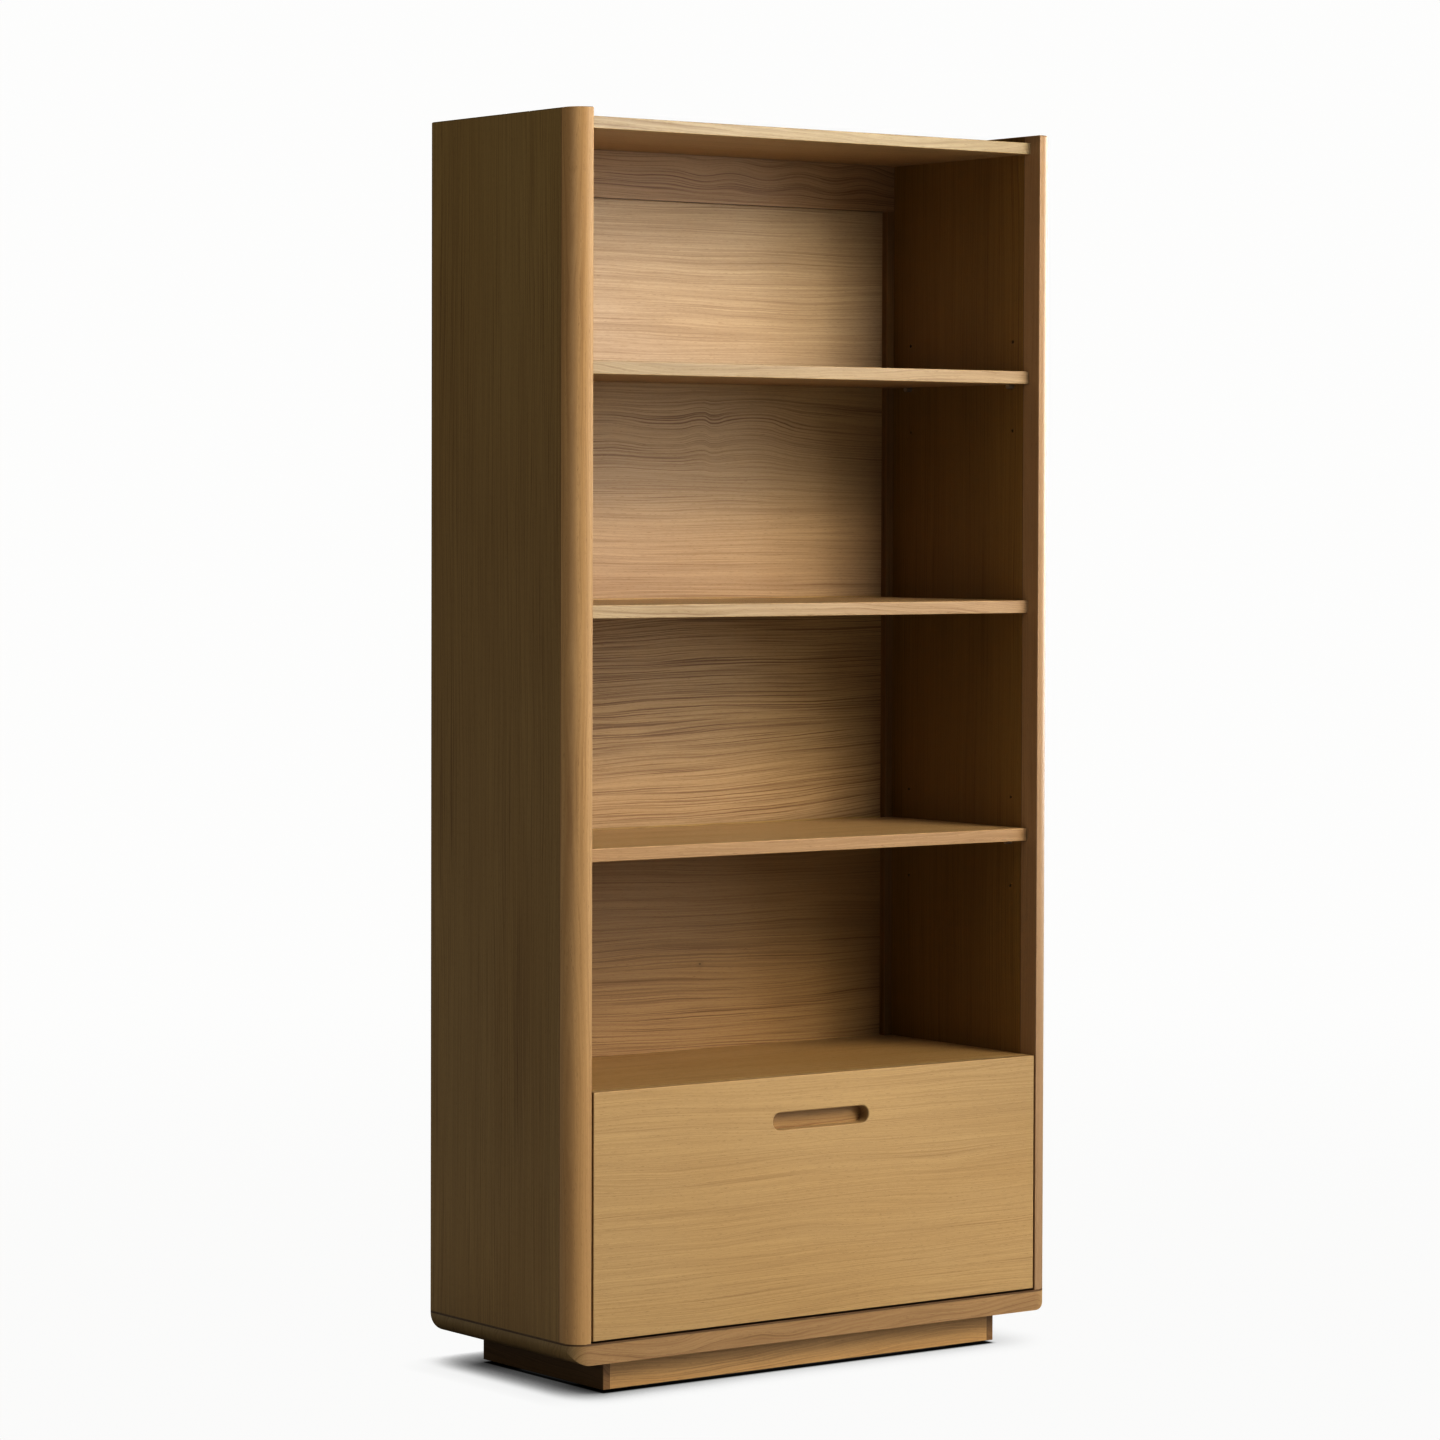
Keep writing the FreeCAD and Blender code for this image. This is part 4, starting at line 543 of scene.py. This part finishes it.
world = bpy.data.worlds.new("studio")
scene.world = world
world.use_nodes = True
nt = world.node_tree
nt.nodes.clear()
wo = nt.nodes.new("ShaderNodeOutputWorld")
mixw = nt.nodes.new("ShaderNodeMixShader")
lpw = nt.nodes.new("ShaderNodeLightPath")
white = nt.nodes.new("ShaderNodeBackground")
white.inputs[0].default_value = (1.0, 0.999, 0.996, 1.0)
white.inputs[1].default_value = WHITE
sky = nt.nodes.new("ShaderNodeBackground")
tcw = nt.nodes.new("ShaderNodeTexCoord")
sepw = nt.nodes.new("ShaderNodeSeparateXYZ")
up = nt.nodes.new("ShaderNodeMath")
up.operation = "MAXIMUM"
up.inputs[1].default_value = 0.0
k = nt.nodes.new("ShaderNodeMath")
k.operation = "MULTIPLY"
k.inputs[1].default_value = 0.09
nt.links.new(tcw.outputs["Generated"], sepw.inputs[0])
nt.links.new(sepw.outputs[2], up.inputs[0])
nt.links.new(up.outputs[0], k.inputs[0])
nt.links.new(k.outputs[0], sky.inputs[1])
nt.links.new(lpw.outputs["Is Camera Ray"], mixw.inputs[0])
nt.links.new(sky.outputs[0], mixw.inputs[1])
nt.links.new(white.outputs[0], mixw.inputs[2])
nt.links.new(mixw.outputs[0], wo.inputs[0])

lit = bpy.data.collections.new("lit")
for o in bpy.data.objects:
    if o.type == "MESH" and o is not floor and o.name != floor.name:
        lit.objects.link(o)


def softbox(name, at, aim, size, power, colour=(1, 1, 1)):
    """A square soft light for the object."""
    d = bpy.data.lights.new(name, "AREA")
    d.shape = "SQUARE"
    d.size = size
    d.energy = power
    d.color = colour
    o = bpy.data.objects.new(name, d)
    scene.collection.objects.link(o)
    o.location = at
    look = Vector(aim) - Vector(at)
    o.rotation_euler = look.to_track_quat("-Z", "Y").to_euler()
    o.light_linking.receiver_collection = lit
    return o


# one big soft source in front and to the right, as overlapping squares:
# distance, elevation, azimuth, power
for i, (dist, el, az, power) in enumerate((
    (5.5, 28, 15, 140.2), (5.5, 14, 30, 79.3), (5.5, 0, 45, 34.0), (5.5, 28, 30, 25.3), (5.5, 42, 15, 19.7),
    (5.5, 14, 15, 16.8), (5.5, 0, 15, 14.9), (2.8, 42, 15, 14.3), (2.8, 28, 30, 4.0),
)):
    e, a = math.radians(el), math.radians(az)
    at = (dist * math.sin(a) * math.cos(e), -dist * math.cos(a) * math.cos(e), 1.0 + dist * math.sin(e))
    softbox(f"key_{i}", at, (0, 0, 1.0), 0.33 * dist, power)
softbox("side_left", (-5.38 * math.sin(math.radians(78)), -5.38 * math.cos(math.radians(78)), 2.15), (0, 0, 1.0), 1.8, 20.0)
# a strip that only grazes the two rounded stiles
stiles = bpy.data.collections.new("stiles")
for n in ("side_nosing_left", "side_nosing_right"):
    stiles.objects.link(NODES[n])
strip = softbox("stile_strip", (-5.34 * math.sin(math.radians(50)), -5.34 * math.cos(math.radians(50)), 2.33), (0, 0, 1.0), 1.8, 56.0, (1.0, 0.84, 0.60))
strip.light_linking.receiver_collection = stiles
softbox("fill_right", (4.6, 0.6, 1.7), (0, 0, 0.9), 2.2, 130.0)
softbox("fill_behind", (2.4, 4.2, 2.0), (0, 0, 0.9), 2.2, 170.0)

# ----------------------------------------------------------------- camera
def camera_axes(pitch, yaw, roll):
    ahead = Vector((math.sin(yaw), math.cos(yaw), 0))
    right = Vector((math.cos(yaw), -math.sin(yaw), 0))
    up = Vector((0, 0, 1))
    f2 = ahead * math.cos(pitch) + up * math.sin(pitch)
    u2 = up * math.cos(pitch) - ahead * math.sin(pitch)
    r3 = right * math.cos(roll) + u2 * math.sin(roll)
    u3 = u2 * math.cos(roll) - right * math.sin(roll)
    return r3, u3, f2


cam_data = bpy.data.cameras.new("camera")
cam = bpy.data.objects.new("camera", cam_data)
scene.collection.objects.link(cam)
scene.camera = cam
cam_data.sensor_fit = "HORIZONTAL"
cam_data.sensor_width = 36.0
cam_data.lens = 4784.8 / 1440.0 * 36.0
cam_data.shift_y = (650.6 - 720.0) / 1440.0
cam_data.clip_start, cam_data.clip_end = 0.1, 100.0
r3, u3, f2 = camera_axes(-0.0289, 0.6342, 0.0029)
m = Matrix.Identity(4)
for i in range(3):
    m[i][0], m[i][1], m[i][2] = r3[i], u3[i], -f2[i]
m[0][3], m[1][3], m[2][3] = -4.4277, -5.9486, 1.3082
cam.matrix_world = m

scene.view_settings.view_transform = "Standard"
scene.view_settings.look = "None"
scene.view_settings.exposure = 0.26
scene.view_settings.gamma = 0.741
